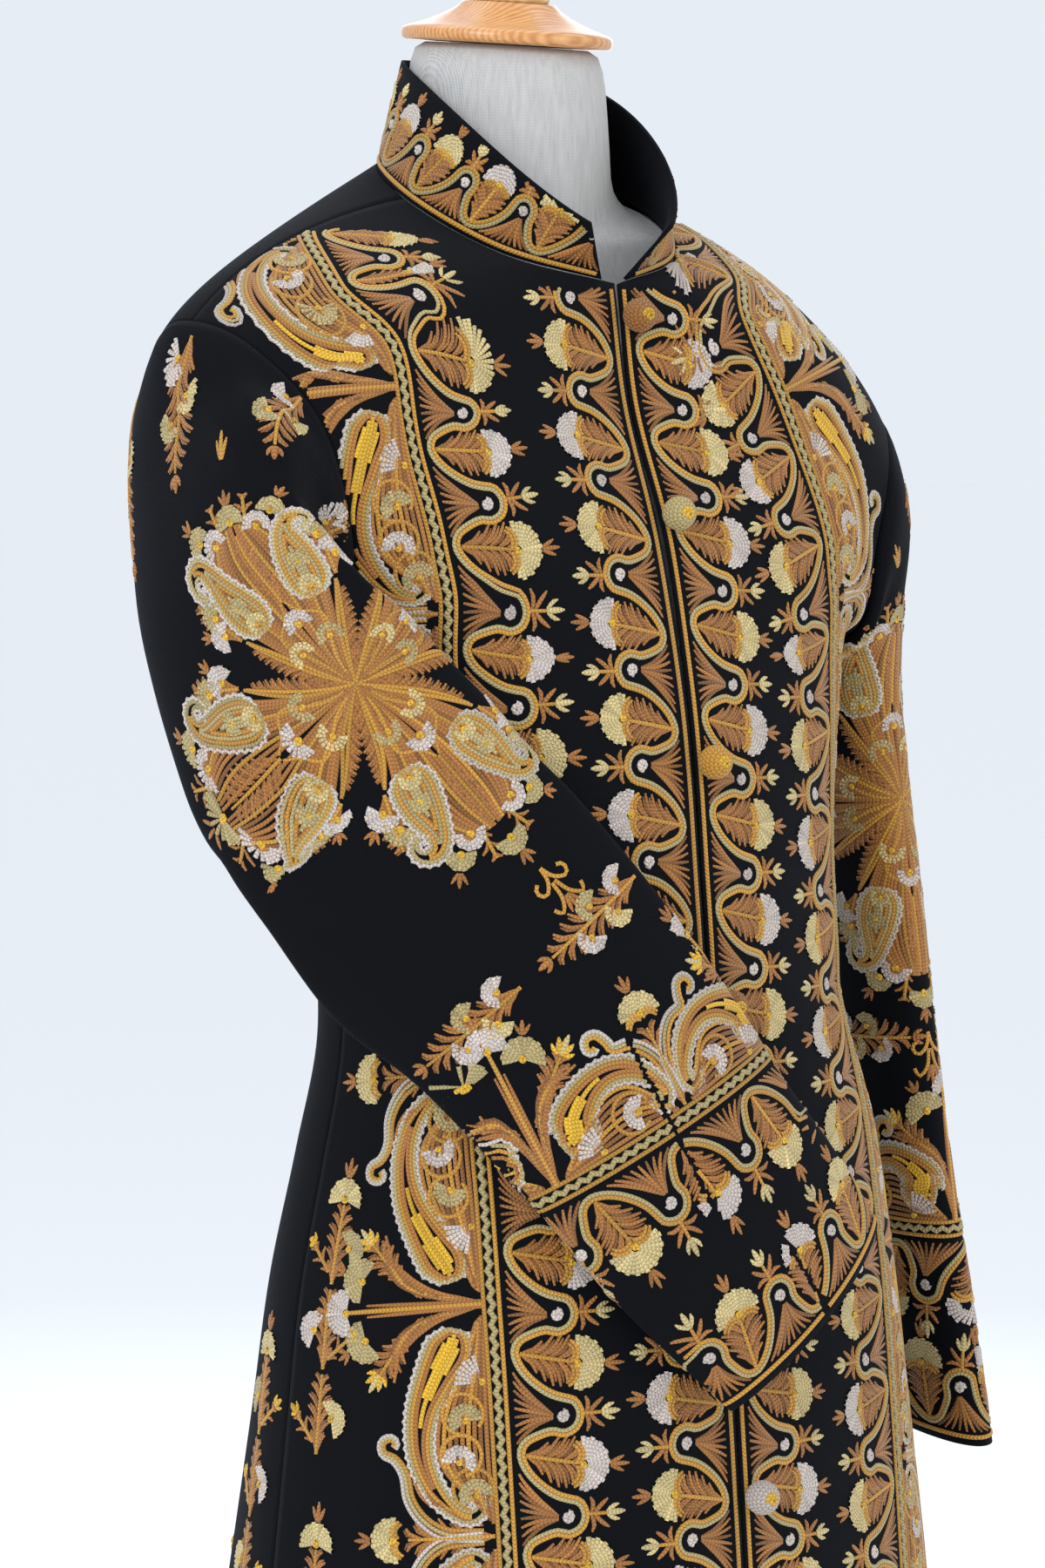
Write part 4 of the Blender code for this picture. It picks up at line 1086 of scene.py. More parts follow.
waveBorder = {
    "repeat": 55.0,
    "narrowRepeat": 54.0,   # along the braid and round the sleeves
    "collarRepeat": 42.0,
    "edgeLine": 1.6,
    # one repeat of the wave from the loop round a dot to the next: along, away from the edge
    "wave": ((-7.6, 24.5), (-9.4, 31.5), (-6.4, 38.4), (0.6, 41.2), (7.4, 38.2), (9.8, 32.0), (12.2, 25.8),
             (17.0, 18.8), (23.8, 12.2), (31.0, 8.0), (37.4, 6.9), (42.6, 9.8), (45.6, 16.4)),
    "dotAt": 31.0,
    "lobeAt": (35.5, 9.4),
    "flowerAt": (28.0, 41.5),
}
braidRows = {
    "half": 4.2,            # from the middle of the braid to each gold row
    "zigzag": (3.6, 1.15),  # step along and half width
    "waveGap": 3.6,         # from the middle to the wave border beside it
}


# One repeat of the border without its wave; flower is the colour of the large fan flower
def borderUnit(flower):
    rows = placed(dot(4.1, "white", 0.3), (0.0, waveBorder["dotAt"]))
    for k in range(9):                    # rows that spread from the dot to the edge
        t = k / 8.0
        foot = -13.0 + 39.0 * t
        ray = ((2.2 * (t - 0.4), 25.6), (0.32 * foot + 1.0, 17.0), (foot * 0.72 + 0.6, 8.8),
               (foot, 4.6 + 0.8 * abs(t - 0.4)))
        rows.append(row(ray, "copper" if k % 3 else "rust", 2.25, 0.5, 0.6, 4.6))
    lobe = np.array(waveBorder["lobeAt"])
    top = np.array(waveBorder["flowerAt"])
    turn = math.degrees(math.atan2(top[1] - lobe[1], top[0] - lobe[0]))
    length = float(np.linalg.norm(top - lobe))
    rows += placed(plume(length, 14.5, 6, "copper", start=0.03, lean=0.36), lobe, turn)
    rows += placed(calyx(12.6), top - (0.0, 2.6), 90.0 + 0.4 * (turn - 90.0))
    rows += placed(fanFlower(15.2, flower, 186.0), top, 90.0 + 0.4 * (turn - 90.0))
    rows += placed(bud(11.5, "copper"), top + (-1.6, 15.4), 93.0)
    rows.append(row(((0.4, 42.6), (0.2, 48.0), (0.0, 53.5)), "gold", 2.0, 1.0, 0.9, lift=0.2))
    for side in (-1, 1):
        rows.append(row(((0.4, 44.0), (side * 5.0, 46.0), (side * 9.6, 44.4)), "copper", 2.6, 0.5, 0.5, 3.6))
        rows.append(row(((0.4, 46.0), (side * 4.0, 49.6), (side * 7.8, 54.6)), "copper", 2.6, 0.5, 0.5, 3.6))
    rows += placed(leafTip(11.5, "cream"), (0.0, 53.0), 90.0)
    return rows


# The whole border over a length: count repeats from the first dot
def border(first, count, repeat, cut, edge=True, spread=1.0):
    stretch = (repeat / waveBorder["repeat"], spread)
    rows = []
    wave = []
    for k in range(-1, count + 1):
        at = first + k * repeat
        wave += [(at + x * stretch[0], y * spread) for x, y in waveBorder["wave"]]
        rows += moved(borderUnit(("cream", "white")[k % 2]), stretch, (at, 0.0))
    line = through(wave)
    rows.append(evenRow(sideways(line, 1.2), 2.35, "gold", 0.2))
    rows.append(evenRow(sideways(line, -1.15), 2.3, "sage", 0.15))
    if edge:
        low, high, at = first - repeat, first + (count + 1) * repeat, waveBorder["edgeLine"]
        line = through(((low, at), (0.5 * (low + high), at), (high, at)))
        rows.append(evenRow(line, 2.5, "gold", 0.3))
    return trimmed(rows, cut)


# Two gold rows with a pale zigzag between them
def braid(low, high):
    rows = []
    for side in (-1, 1):
        at = side * braidRows["half"]
        rows.append(evenRow(through(((low, at), (0.5 * (low + high), at), (high, at))), 2.3, "gold", 0.15))
    step, half = braidRows["zigzag"]
    along = np.arange(low, high, step)
    zigzag = np.stack((along, np.where(np.arange(len(along)) % 2, half, -half)), axis=1)
    rows.append(evenRow(zigzag, 3.3, "sage", 0.3))
    return rows


# A paisley round a spine: half widths along it, a scalloped outline and rows inside it
def paisley(spine, widths, inside, core):
    line = through(spine, 2.0)
    lengths = lengthsAlong(line)
    half = np.interp(lengths / lengths[-1], np.linspace(0.0, 1.0, len(widths)), widths)
    head = np.sqrt(np.clip(1.0 - (1.0 - np.clip(lengths / max(widths), 0.0, 1.0)) ** 2, 0.0, 1.0))
    half = half * head

    def ring(inset):
        width = np.maximum(half - inset, 0.0)
        inner = np.flatnonzero(width > 0.35)
        if len(inner) < 3:
            return []
        part = slice(inner[0], inner[-1] + 1)
        return np.vstack((sideways(line, -width)[part][::-1], sideways(line, width)[part]))
    outline = through(ring(0.0), 1.6)
    scallops = 1.2 * np.abs(np.sin(np.arange(len(outline)) * math.pi / 3.0)) - 0.4
    rows = [evenRow(sideways(outline, -scallops), 2.1, "white", 0.25)]
    for k, colour in enumerate(inside):
        edge = ring(2.15 * (k + 1))
        if len(edge) > 4:
            rows.append(evenRow(through(edge, 3.0), 2.35, colour, 0.1))
    rest = half - 2.15 * (len(inside) + 1)
    fill = np.flatnonzero(rest > 0.2)
    for offset in np.arange(-4, 5) * 1.9:
        part = fill[rest[fill] > abs(offset)]
        if len(part) > 2:
            piece = through(sideways(line, offset)[part[0]:part[-1] + 1], 3.2)
            rows.append(evenRow(piece, 2.3, core, 0.35))
    return rows


# A round frame with a fan flower in it
def framedFlower(radius, colour):
    a = np.radians(np.linspace(-150.0, 150.0, 12))
    ring = np.stack((radius * np.cos(a), radius * np.sin(a)), axis=1)
    flower = placed(fanFlower(radius * 0.86, colour, 200.0, knot=2.2), (-radius * 0.35, 0))
    return flower + [row(ring, "gold", 2.2, lift=0.1)]


# Three rows side by side that widen away from a curled tip
def hook(points):
    line = through(points, 2.4)
    half = 3.8 * np.interp(np.linspace(0, 1, len(line)), (0, 0.5, 1), (0.5, 1.0, 1.25))
    rows = []
    for offset, colour in ((1.0, "white"), (0.0, "sage"), (-1.0, "gold")):
        rows.append(evenRow(sideways(line, offset * half * 0.62), 2.15, colour, 0.2))
    return rows


# Rows that fill the ground between two lines
def ground(lower, upper, count, colours=("copper", "rust", "copper", "gold")):
    lower, upper = through(lower, 4.6), through(upper, 4.6)
    share = np.linspace(0.0, 1.0, max(len(lower), len(upper)))
    lower, upper = (pointsAt(share, np.linspace(0.0, 1.0, len(line)), line) for line in (lower, upper))
    rows = []
    for k in range(count):
        t = (k + 0.5) / count
        rows.append(evenRow(lower * (1.0 - t) + upper * t, 2.5, colours[k % len(colours)], 0.0))
    return rows


# Half of the paisley band, from the middle of a module to its joint; a short one has fewer flowers
def bandHalf(length):
    k = length / 132.5
    roomy = k > 0.8
    spine = ((11.5, 20.0), (21.0, 23.0), (39.0 * k, 32.0), (60.0 * k, 41.0), (82.0 * k, 43.5),
             (102.0 * k, 38.5), (116.0 * k, 28.0), (121.0 * k, 18.0), (115.0 * k, 11.5),
             (108.5 * k, 15.5), (111.0 * k, 20.5))
    widths = (13.0, 14.0, 12.0, 10.0, 8.6, 7.8, 6.8, 5.2, 4.4, 3.4)
    lower = ((6.0, 5.6), (60.0 * k, 5.6), (126.0 * k, 5.6))
    upper = ((10.0, 9.0), (34.0 * k, 19.0), (62.0 * k, 33.0), (90.0 * k, 34.0), (112.0 * k, 16.0))
    rows = ground(lower, upper, 9 if roomy else 8)
    rows += paisley(spine, widths, ("sage", "gold", "copper"), "yellow")
    # flowers between the paisley and the braid
    rows += lifted(placed(fanFlower(15.0, "white", 74.0, knot=2.4), (36.0 * k + 8.0, 8.0), 128.0), 0.5)
    flowers = ((54.0, 18.0, "white"),)
    if roomy:
        flowers = ((58.0, 19.5, "sage"), (80.0, 21.5, "white"), (98.0, 16.0, "sage"))
    for n, (x, y, colour) in enumerate(flowers):
        rows += lifted(placed(framedFlower(11.0, colour), (x, y), 200.0 if n % 2 else 160.0), 0.5)
    # the hook that curls out past the tail
    tip = 72.0 * k
    rows += hook(((tip + 7.5, 58.0), (tip + 4.5, 56.5), (tip + 2.0, 60.0), (tip + 4.5, 65.0),
                  (tip + 10.5, 64.5), (tip + 14.0, 58.0), (tip + 24.0 * k, 53.0), (tip + 38.0 * k, 51.0),
                  (tip + 50.0 * k, 44.0), (tip + 58.0 * k, 32.0), (tip + 60.0 * k, 12.0)))
    for n in range(4):
        curve = ((126.0 * k - 3.0 * n, 12.0 + 8.0 * n), (121.0 * k - 4.5 * n, 24.0 + 7.0 * n),
                 (110.0 * k - 6.0 * n, 36.0 + 4.5 * n))
        rows.append(row(curve, "copper", 2.5, 0.6, 0.6))
    # feathers that fan out from the stem over the paisley's head, each with a copper row beside it
    for n in range(7):
        t = n / 6.0
        foot = np.array((1.5 + 0.6 * n, 7.0 + 5.0 * n))
        reach = np.array((12.0 + 21.0 * t, 45.0 + 17.0 * t) if n < 6 else (37.0, 58.0))
        middle = (0.45, 0.55) * (foot + reach) - (1.5, 0.0)
        beside = (foot + (0.6, 2.4), middle + (2.2, -1.4), reach + (2.6, -2.0))
        rows.append(row((foot, middle, reach), ("copper", "gold", "rust")[n % 3], 2.5, 0.6, 0.7, lift=0.1))
        rows.append(row(beside, "copper", 2.3, 0.6, 0.7))
    rows += placed(plume(30.0, 9.0, 5, "copper"), (13.0, 46.0), 39.0)
    for turn, size, colour in ((10.0, 9.0, "yellow"), (38.0, 12.0, "cream"), (66.0, 10.0, "yellow")):
        rows += placed(leafTip(size, colour), (35.0, 64.0), turn)
    rows += placed(fanFlower(12.5, "sage", 200.0), (16.5, 72.0), 62.0)
    rows += placed(bud(8.0, "copper"), (22.5, 83.5), 62.0)
    return rows


def bandModule(length):
    half = bandHalf(length)
    rows = half + moved(half, (-1.0, 1.0))
    rows.append(row(((0, 4.5), (0, 30.0), (0, 84.0)), "gold", 2.6, 1.0, 0.8, lift=0.3))
    for side in (-1, 1):
        stem = ((side * 1.6, 5.0), (side * 1.8, 30.0), (side * 3.0, 70.0))
        rows.append(row(stem, "copper", 2.2, 0.8, 0.6, lift=0.1))
    rows += placed(fanFlower(13.5, "white", 200.0), (0, 84.0), 90.0)
    rows += placed(bud(10.0, "copper"), (0, 97.0), 90.0)
    return rows


# What stands at the joint of two modules
def bandJoint():
    rows = placed(plume(50.0, 11.0, 6, "copper"), (0, 6.0), 90.0)
    rows += placed(calyx(10.0), (0, 60.0), 90.0)
    rows += placed(fanFlower(12.5, "cream", 190.0), (0, 61.5), 90.0)
    rows += placed(bud(10.0, "copper"), (0, 74.5), 90.0)
    return rows


# Modules of one period from low to high, one of them with its middle at the place
def band(low, high, middle, period):
    rows = []
    while middle - 0.5 * period > low:
        middle -= period
    while middle - 0.5 * period < high:
        rows += placed(bandModule(0.5 * period), (middle, 0.0))
        rows += placed(bandJoint(), (middle + 0.5 * period, 0.0))
        middle += period
    return trimmed(rows, (low, high))


# One quarter of the sleeve medallion, along x from the middle
def medallionPetal(long):
    outline = np.array(((2.0, 0.8), (14.0, 7.5), (30.0, 17.0), (46.0, 27.0), (60.0, 35.0), (76.0, 39.0),
                        (92.0, 36.0), (106.0, 22.0)))
    spine = np.array(((50.0, 18.0), (57.0, 19.5), (69.0, 23.0), (81.0, 25.5), (91.0, 28.5), (96.0, 34.5),
                      (93.0, 41.5), (86.0, 42.0), (83.5, 36.5), (87.5, 34.0)))
    widths = (12.5, 13.5, 13.6, 12.6, 10.0, 7.4, 5.6, 4.2, 3.0, 2.2)
    rows = []
    for side in (-1, 1):
        mirror = (1.0, side)
        axis = np.array(((4.0, 0.6), (60.0, 1.0), (106.0, 1.0))) * mirror
        rows += ground(axis, outline * (0.97, 0.86 * side), 12, ("copper", "copper", "gold", "rust", "copper"))
        # serrated leaf along the gap to the next quarter
        leaf = plume(62.0, 7.5, 12, "copper", sides=(side,), lean=0.13)
        rows += placed(leaf, (1.5, side * 0.8), side * 33.0)
        rows += placed(plume(34.0, 8.5, 6, "copper", lean=0.24), (54.0, side * 35.0), side * 22.0)
        for curve in (((2.0, 0.6), (20.0, 4.5), (40.0, 14.5), (50.0, 5.0), (58.0, 1.2)),
                      ((3.0, 1.4), (24.0, 12.5), (38.0, 22.0), (52.0, 33.0))):
            rows.append(row(np.array(curve) * mirror, "gold", 2.3, 0.7, 0.8, lift=0.45))
        rows += lifted(paisley(spine * mirror, widths, ("sage", "gold", "sage", "gold"), "sage"), 0.5)

        # a motif beside the axis, turned away from it
        def grown(motif, at, turn, lift=0.0):
            return lifted(placed(motif, (at[0], side * at[1]), side * turn), lift)
        smallFan = fanFlower(7.8, "cream" if side > 0 else "sage", 215.0, knot=2.2)
        rows += grown(fanFlower(6.6, "cream", 230.0, knot=1.8), (57.0, 19.5), 15.0, 0.9)
        rows += grown(fanFlower(6.2, "sage", 230.0, knot=1.8), (70.0, 23.5), 15.0, 0.9)
        rows += grown(smallFan, (29.5, 9.5), 18.0, 0.5)
        rows += grown(fanFlower(9.8, "white", 190.0), (62.0, 42.5), 62.0, 0.4)
        rows += grown(bud(8.0, "copper"), (66.5, 51.5), 62.0)
        rows += grown(fanFlower(8.6, "sage", 190.0), (74.0, 41.0), 48.0, 0.3)
        rows += grown(fanFlower(9.0, "white", 195.0), (100.0, 15.0), 24.0, 0.5)
        rows += grown(fanFlower(8.6, "sage", 195.0), (105.0, 26.0), 44.0, 0.5)
        rows += grown(bud(8.0, "copper"), (112.0, 32.5), 44.0)
        rows += grown(plume(18.0, 6.0, 3, "copper", double=False), (103.0, 9.0), 12.0)
    rows += lifted(placed(fanFlower(8.6, "white", 200.0), (44.0, 0.0)), 0.6)
    rows += lifted(placed(plume(46.0 * long, 9.5, 8, "copper", lean=0.2), (58.0, 0.0)), 0.3)
    rows += lifted(placed(fanFlower(9.5, "sage", 195.0), (110.0 * long, 0.0)), 0.5)
    rows += placed(bud(9.0, "copper"), (119.0 * long, 0.0))
    return rows


# Four quarters and a curled finial
def medallion():
    rows = []
    for k in range(4):
        rows += placed(medallionPetal(1.06 if k == 0 else 0.98), (0, 0), 90.0 * k)
    rows += dot(3.0, "gold", 0.5)
    for side in (-1, 1):
        for curl in (((140.0, 0), (148.0, 2.0), (153.0, 8.0), (148.0, 11.0), (145.0, 7.5)),
                     ((150.0, 1.0), (160.0, 3.0), (166.0, 8.5), (161.0, 11.0))):
            rows.append(row(np.array(curl) * (1.0, side), "gold", 2.3))
    rows += placed(bud(13.0, "copper"), (160.0, 0))
    return rows


# A leafy spray with flowers at its foot, along x
def spray(length, wide, flowers):
    rows = plume(length, wide, max(6, int(length / 8.0)), "copper", lean=0.2)
    for k in range(flowers):
        side = 1 if k % 2 else -1
        at = length * (0.16 + 0.60 * k / flowers)
        colour = ("white", "cream", "sage")[k % 3]
        rows += placed(fanFlower(wide * 0.72, colour, 195.0, knot=2.2), (at, side * wide * 0.55), side * 42.0)
    rows += placed(leafTip(9.0, "copper"), (length * 0.95, 0))
    return rows


# Leafy spike that climbs the skirt, one joint after the other
def spike(length):
    joint = 46.0
    count = int(length / joint)
    rows = []
    for k in range(count):
        at = joint * k
        side = 1 if k % 2 else -1
        flower = fanFlower(10.5, ("cream", "white", "sage")[k % 3], 190.0)
        rows += placed(plume(joint, 9.0, 6, "copper", lean=0.24), (at, 0))
        rows += placed(flower, (at + 20.0, side * 9.0), side * 62.0)
        rows += placed(plume(20.0, 6.0, 3, "copper", double=False), (at + 6.0, -side * 3.0), -side * 48.0)
        rows += placed(leafTip(8.0, "yellow"), (at + 19.0, -side * 17.0), -side * 50.0)
    rows += placed(fanFlower(12.0, "cream", 200.0), (joint * count, 0))
    rows += placed(bud(11.0, "copper"), (joint * count + 12.0, 0))
    return rows


# Charts: flat millimetres laid on a surface along a guide line
chartStep = 3.0               # mm between neighbouring places of a chart


# Blend of the four values round each place
def blended(grid, i, j, k, u, v):
    near = (1 - v) * grid[i, j] + v * grid[i, k]
    far = (1 - v) * grid[i + 1, j] + v * grid[i + 1, k]
    return (1 - u) * near + u * far


# Points or normals of a surface at (row, column) pairs
def surfaceAt(surface, pairs, what="points"):
    grid = surface[what]
    height, width = grid.shape[:2]
    r = np.clip(pairs[:, 0], 0.0, height - 1.0001)
    i = np.floor(r).astype(int)
    if surface["closed"]:
        c = np.mod(pairs[:, 1], width)
        j = np.floor(c).astype(int) % width
        k = (j + 1) % width
    else:
        c = np.clip(pairs[:, 1], 0.0, width - 1.0001)
        j = np.floor(c).astype(int)
        k = j + 1
    return blended(grid, i, j, k, (r - i)[:, None], (c - np.floor(c))[:, None])


# The guide is (row, column) pairs; low and high are how far the chart reaches either side, mm
def makeChart(surface, guide, low, high, flip=1.0):
    guide = np.asarray(guide, float)
    pairs = pointsAt(np.linspace(0.0, len(guide) - 1.0, 900), np.arange(len(guide)), guide)
    kernel = np.ones(41) / 41.0
    for k in (0, 1):                       # rounds the guide's corners
        line = pairs[:, k]
        padded = np.concatenate((2 * line[0] - line[20:0:-1], line, 2 * line[-1] - line[-2:-22:-1]))
        pairs[:, k] = np.convolve(padded, kernel, "valid")
    points = surfaceAt(surface, pairs) * 1000.0
    lengths = lengthsAlong(points)
    places = np.arange(0.0, lengths[-1], chartStep)
    pairs = pointsAt(places, lengths, pairs)
    tangent = np.gradient(pointsAt(places, lengths, points), axis=0)
    away = flip * np.cross(surfaceAt(surface, pairs, "normals"), tangent)
    away /= np.linalg.norm(away, axis=1, keepdims=True)
    columns = {0: pairs}
    for sign, reach in ((1, high), (-1, -low)):
        now = pairs.copy()
        heading = away * sign
        for k in range(1, int(math.ceil(reach / chartStep)) + 1):
            now, heading = walked(surface, now, heading)
            columns[sign * k] = now
    order = sorted(columns)
    grid = np.stack([columns[k] for k in order], axis=1)
    return {"surface": surface, "grid": grid, "start": 0.0, "first": order[0]}


# One chart step over the surface from each place, along its heading
def walked(surface, pairs, heading):
    h = 0.5
    alongRow = (surfaceAt(surface, pairs + (h, 0.0)) - surfaceAt(surface, pairs - (h, 0.0))) * 1000.0
    alongColumn = (surfaceAt(surface, pairs + (0.0, h)) - surfaceAt(surface, pairs - (0.0, h))) * 1000.0
    normal = surfaceAt(surface, pairs, "normals")
    heading = heading - (heading * normal).sum(axis=1, keepdims=True) * normal
    heading /= np.linalg.norm(heading, axis=1, keepdims=True)
    a, b, c = (alongRow ** 2).sum(1), (alongRow * alongColumn).sum(1), (alongColumn ** 2).sum(1)
    d, e = (heading * alongRow).sum(1) * chartStep, (heading * alongColumn).sum(1) * chartStep
    det = np.maximum(a * c - b * b, 1e-6)
    move = np.stack(((d * c - e * b) / det, (e * a - d * b) / det), axis=1)
    return pairs + np.clip(move, -3.0, 3.0), heading


# Lays rows of stitches on a chart, dropping what falls off the cloth or within the margin
def laid(chart, rows):
    margin = 0.4
    out = []
    grid = chart["grid"]
    surface = chart["surface"]
    height, width = surface["points"].shape[:2]
    for line, widths, colour, lift in rows:
        i = (line[:, 0] - chart["start"]) / chartStep
        j = line[:, 1] / chartStep - chart["first"]
        good = (i >= 0) & (i < grid.shape[0] - 1.001) & (j >= 0) & (j < grid.shape[1] - 1.001)
        i = np.clip(i, 0, grid.shape[0] - 1.001)
        j = np.clip(j, 0, grid.shape[1] - 1.001)
        a, b = np.floor(i).astype(int), np.floor(j).astype(int)
        pairs = blended(grid, a, b, b + 1, (i - a)[:, None], (j - b)[:, None])
        good &= (pairs[:, 0] > margin) & (pairs[:, 0] < height - 1 - margin)
        if not surface["closed"]:
            good &= (pairs[:, 1] > margin * 0.5) & (pairs[:, 1] < width - 1 - margin)
        for part in keptRuns(good):
            points = surfaceAt(surface, pairs[part])
            normals = surfaceAt(surface, pairs[part], "normals")
            normals /= np.linalg.norm(normals, axis=1, keepdims=True)
            raised = points + normals * (lift * stitch["lift"] - stitch["sink"])
            out.append((raised, normals, widths[part], colour))
    return out


# Column at which a row is so many mm from its edge
def columnAt(surface, rowNumber, distance):
    columns = np.arange(surface["points"].shape[1], dtype=float)
    line = surfaceAt(surface, np.stack((np.full(len(columns), rowNumber), columns), axis=1))
    return float(np.interp(distance, lengthsAlong(line) * 1000.0, columns))


# A guide from (row, mm from the edge) pairs
def edgeGuide(surface, pairs):
    rows, distances = np.array(pairs, float).T
    steps = np.linspace(rows[0], rows[-1], 60)
    return [(r, columnAt(surface, r, np.interp(r, rows, distances))) for r in steps]


# The points of the guide itself
def guideLine(chart):
    return surfaceAt(chart["surface"], chart["grid"][:, -chart["first"]])


# Length along a chart at which its guide is at a height
def lengthAt(chart, height):
    heights = guideLine(chart)[:, 2]
    order = np.argsort(heights)
    return float(np.interp(height, heights[order], order * chartStep + chart["start"]))


def chartLength(chart):
    return chart["start"] + chartStep * (len(chart["grid"]) - 1)


# Hooked silky wool thread: each row is a chain of loops, and every row took the dye a little differently;
# painted shade darkens the grooves between the loops and the row's sides, so the row reads brighter along its
# crown
def threadMaterial():
    material, tree, shader = newMaterial("chainStitchThread", {
        "Roughness": 0.52, "IOR": 1.5, "Sheen Weight": 0.35, "Sheen Roughness": 0.35,
        "Sheen Tint": linear("#fff2dc"), "Specular IOR Level": 0.45,
    })
    dye = addNode(tree, "ShaderNodeAttribute", attribute_name="threadColour")
    length = addNode(tree, "ShaderNodeAttribute", attribute_name="rowLength")
    across = addNode(tree, "ShaderNodeAttribute", attribute_name="rowAcross")
    place = addNode(tree, "ShaderNodeTexCoord").outputs["Object"]
    fibre = addNode(tree, "ShaderNodeTexNoise", {"Vector": place, "Scale": 1400.0, "Detail": 2.0})
    away = calculated(tree, "ABSOLUTE", calculated(tree, "SUBTRACT", across.outputs["Fac"], 0.5))
    # the loops lean back on both sides of the row, so the pattern is a chain of V shapes
    leaned = calculated(tree, "MULTIPLY_ADD", away, -0.0028, length.outputs["Fac"])
    turns = calculated(tree, "MULTIPLY", leaned, 2.0 * math.pi / (stitch["loopMm"] / 1000.0))
    loops = calculated(tree, "SINE", turns)
    height = calculated(tree, "MULTIPLY_ADD", fibre.outputs["Fac"], 0.5, loops)
    # painted shade: the dye is darkened in the grooves between the chain loops and lifted a little on their
    # tops as a faint painted highlight
    paintedLoopShading = addNode(tree, "ShaderNodeMapRange", {
        "Value": loops, "From Min": -1.0, "From Max": 0.4, "To Min": 0.62, "To Max": 1.08,
    })
    # painted shade: the dye darkens towards both sides of the row, so its crown reads brighter
    edge = addNode(tree, "ShaderNodeMapRange", {
        "Value": away, "From Min": 0.3, "From Max": 0.5, "To Min": 1.0, "To Max": 0.55,
    })
    shade = calculated(tree, "MULTIPLY", paintedLoopShading.outputs["Result"], edge.outputs["Result"])
    colour = addNode(tree, "ShaderNodeVectorMath", {
        0: dye.outputs["Color"], "Scale": shade,
    }, operation="SCALE")
    tree.links.new(colour.outputs["Vector"], shader.inputs["Base Color"])
    bump = addNode(tree, "ShaderNodeBump", {"Height": height, "Strength": 0.55, "Distance": 0.0005})
    tree.links.new(bump.outputs["Normal"], shader.inputs["Normal"])
    return material


sewing = {"material": threadMaterial(), "random": np.random.default_rng(stitch["seed"])}
dyes = {name: np.array(linear(value)[:3]) for name, value in threads.items()}


# Sweeps a low half-round section along every row and joins the rows into one mesh
def sewn(name, sets):
    sides = stitch["sides"]
    turn = np.linspace(0.0, math.pi, sides + 1)
    points, faces, colours, lengths, places = [], [], [], [], []
    total = 0
    for line, normal, width, colour in (entry for rows in sets for entry in rows):
        tangent = np.gradient(line, axis=0)
        size = np.linalg.norm(tangent, axis=1, keepdims=True)
        if (size < 1e-5).any():
            continue
        side = np.cross(normal, tangent / size)
        side /= np.maximum(np.linalg.norm(side, axis=1, keepdims=True), 1e-6)
        half = stitch["halfWidth"] * width[:, None, None]
        ring = line[:, None] - side[:, None] * np.cos(turn)[None, :, None] * half
        ring += normal[:, None] * np.sin(turn)[None, :, None] * half * 2.0 * stitch["riseShare"]
        count = len(line)
        index = total + np.arange(count * (sides + 1)).reshape(count, sides + 1)
        corners = (index[:-1, :-1], index[1:, :-1], index[1:, 1:], index[:-1, 1:])
        faces.append(np.stack(corners, axis=-1).reshape(-1, 4))
        points.append(ring.reshape(-1, 3))
        tone = np.clip(dyes[colour] * (1.0 + stitch["vary"] * sewing["random"].standard_normal()), 0.0, 1.0)
        colours.append(np.tile(np.append(tone, 1.0), (count * (sides + 1), 1)))
        # no row starts in step with the next
        along = lengthsAlong(line) + sewing["random"].random() * 0.001 * stitch["loopMm"]
        lengths.append(np.repeat(along, sides + 1))
        places.append(np.tile(turn / math.pi, count))
        total += count * (sides + 1)
    mesh = bpy.data.meshes.new(name)
    faces = np.concatenate(faces)
    mesh.vertices.add(total)
    mesh.vertices.foreach_set("co", np.concatenate(points).astype(np.float32).ravel())
    mesh.loops.add(faces.size)
    mesh.loops.foreach_set("vertex_index", faces.astype(np.int32).ravel())
    mesh.polygons.add(len(faces))
    mesh.polygons.foreach_set("loop_start", np.arange(0, faces.size, 4, dtype=np.int32))
    mesh.update(calc_edges=True)
    for label, kind, field, values in (("threadColour", "FLOAT_COLOR", "color", colours),
                                       ("rowLength", "FLOAT", "value", lengths),
                                       ("rowAcross", "FLOAT", "value", places)):
        values = np.concatenate(values).astype(np.float32).ravel()
        mesh.attributes.new(label, kind, "POINT").data.foreach_set(field, values)
    piece = addPiece(name, mesh, sewing["material"])
    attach(piece, "root")
    print("sewn", name, 2 * len(faces), "triangles")
    return piece


sewnRows = {key: [] for key in surfaces}


def lay(key, chart, rows):
    sewnRows[key].append(laid(chart, rows))


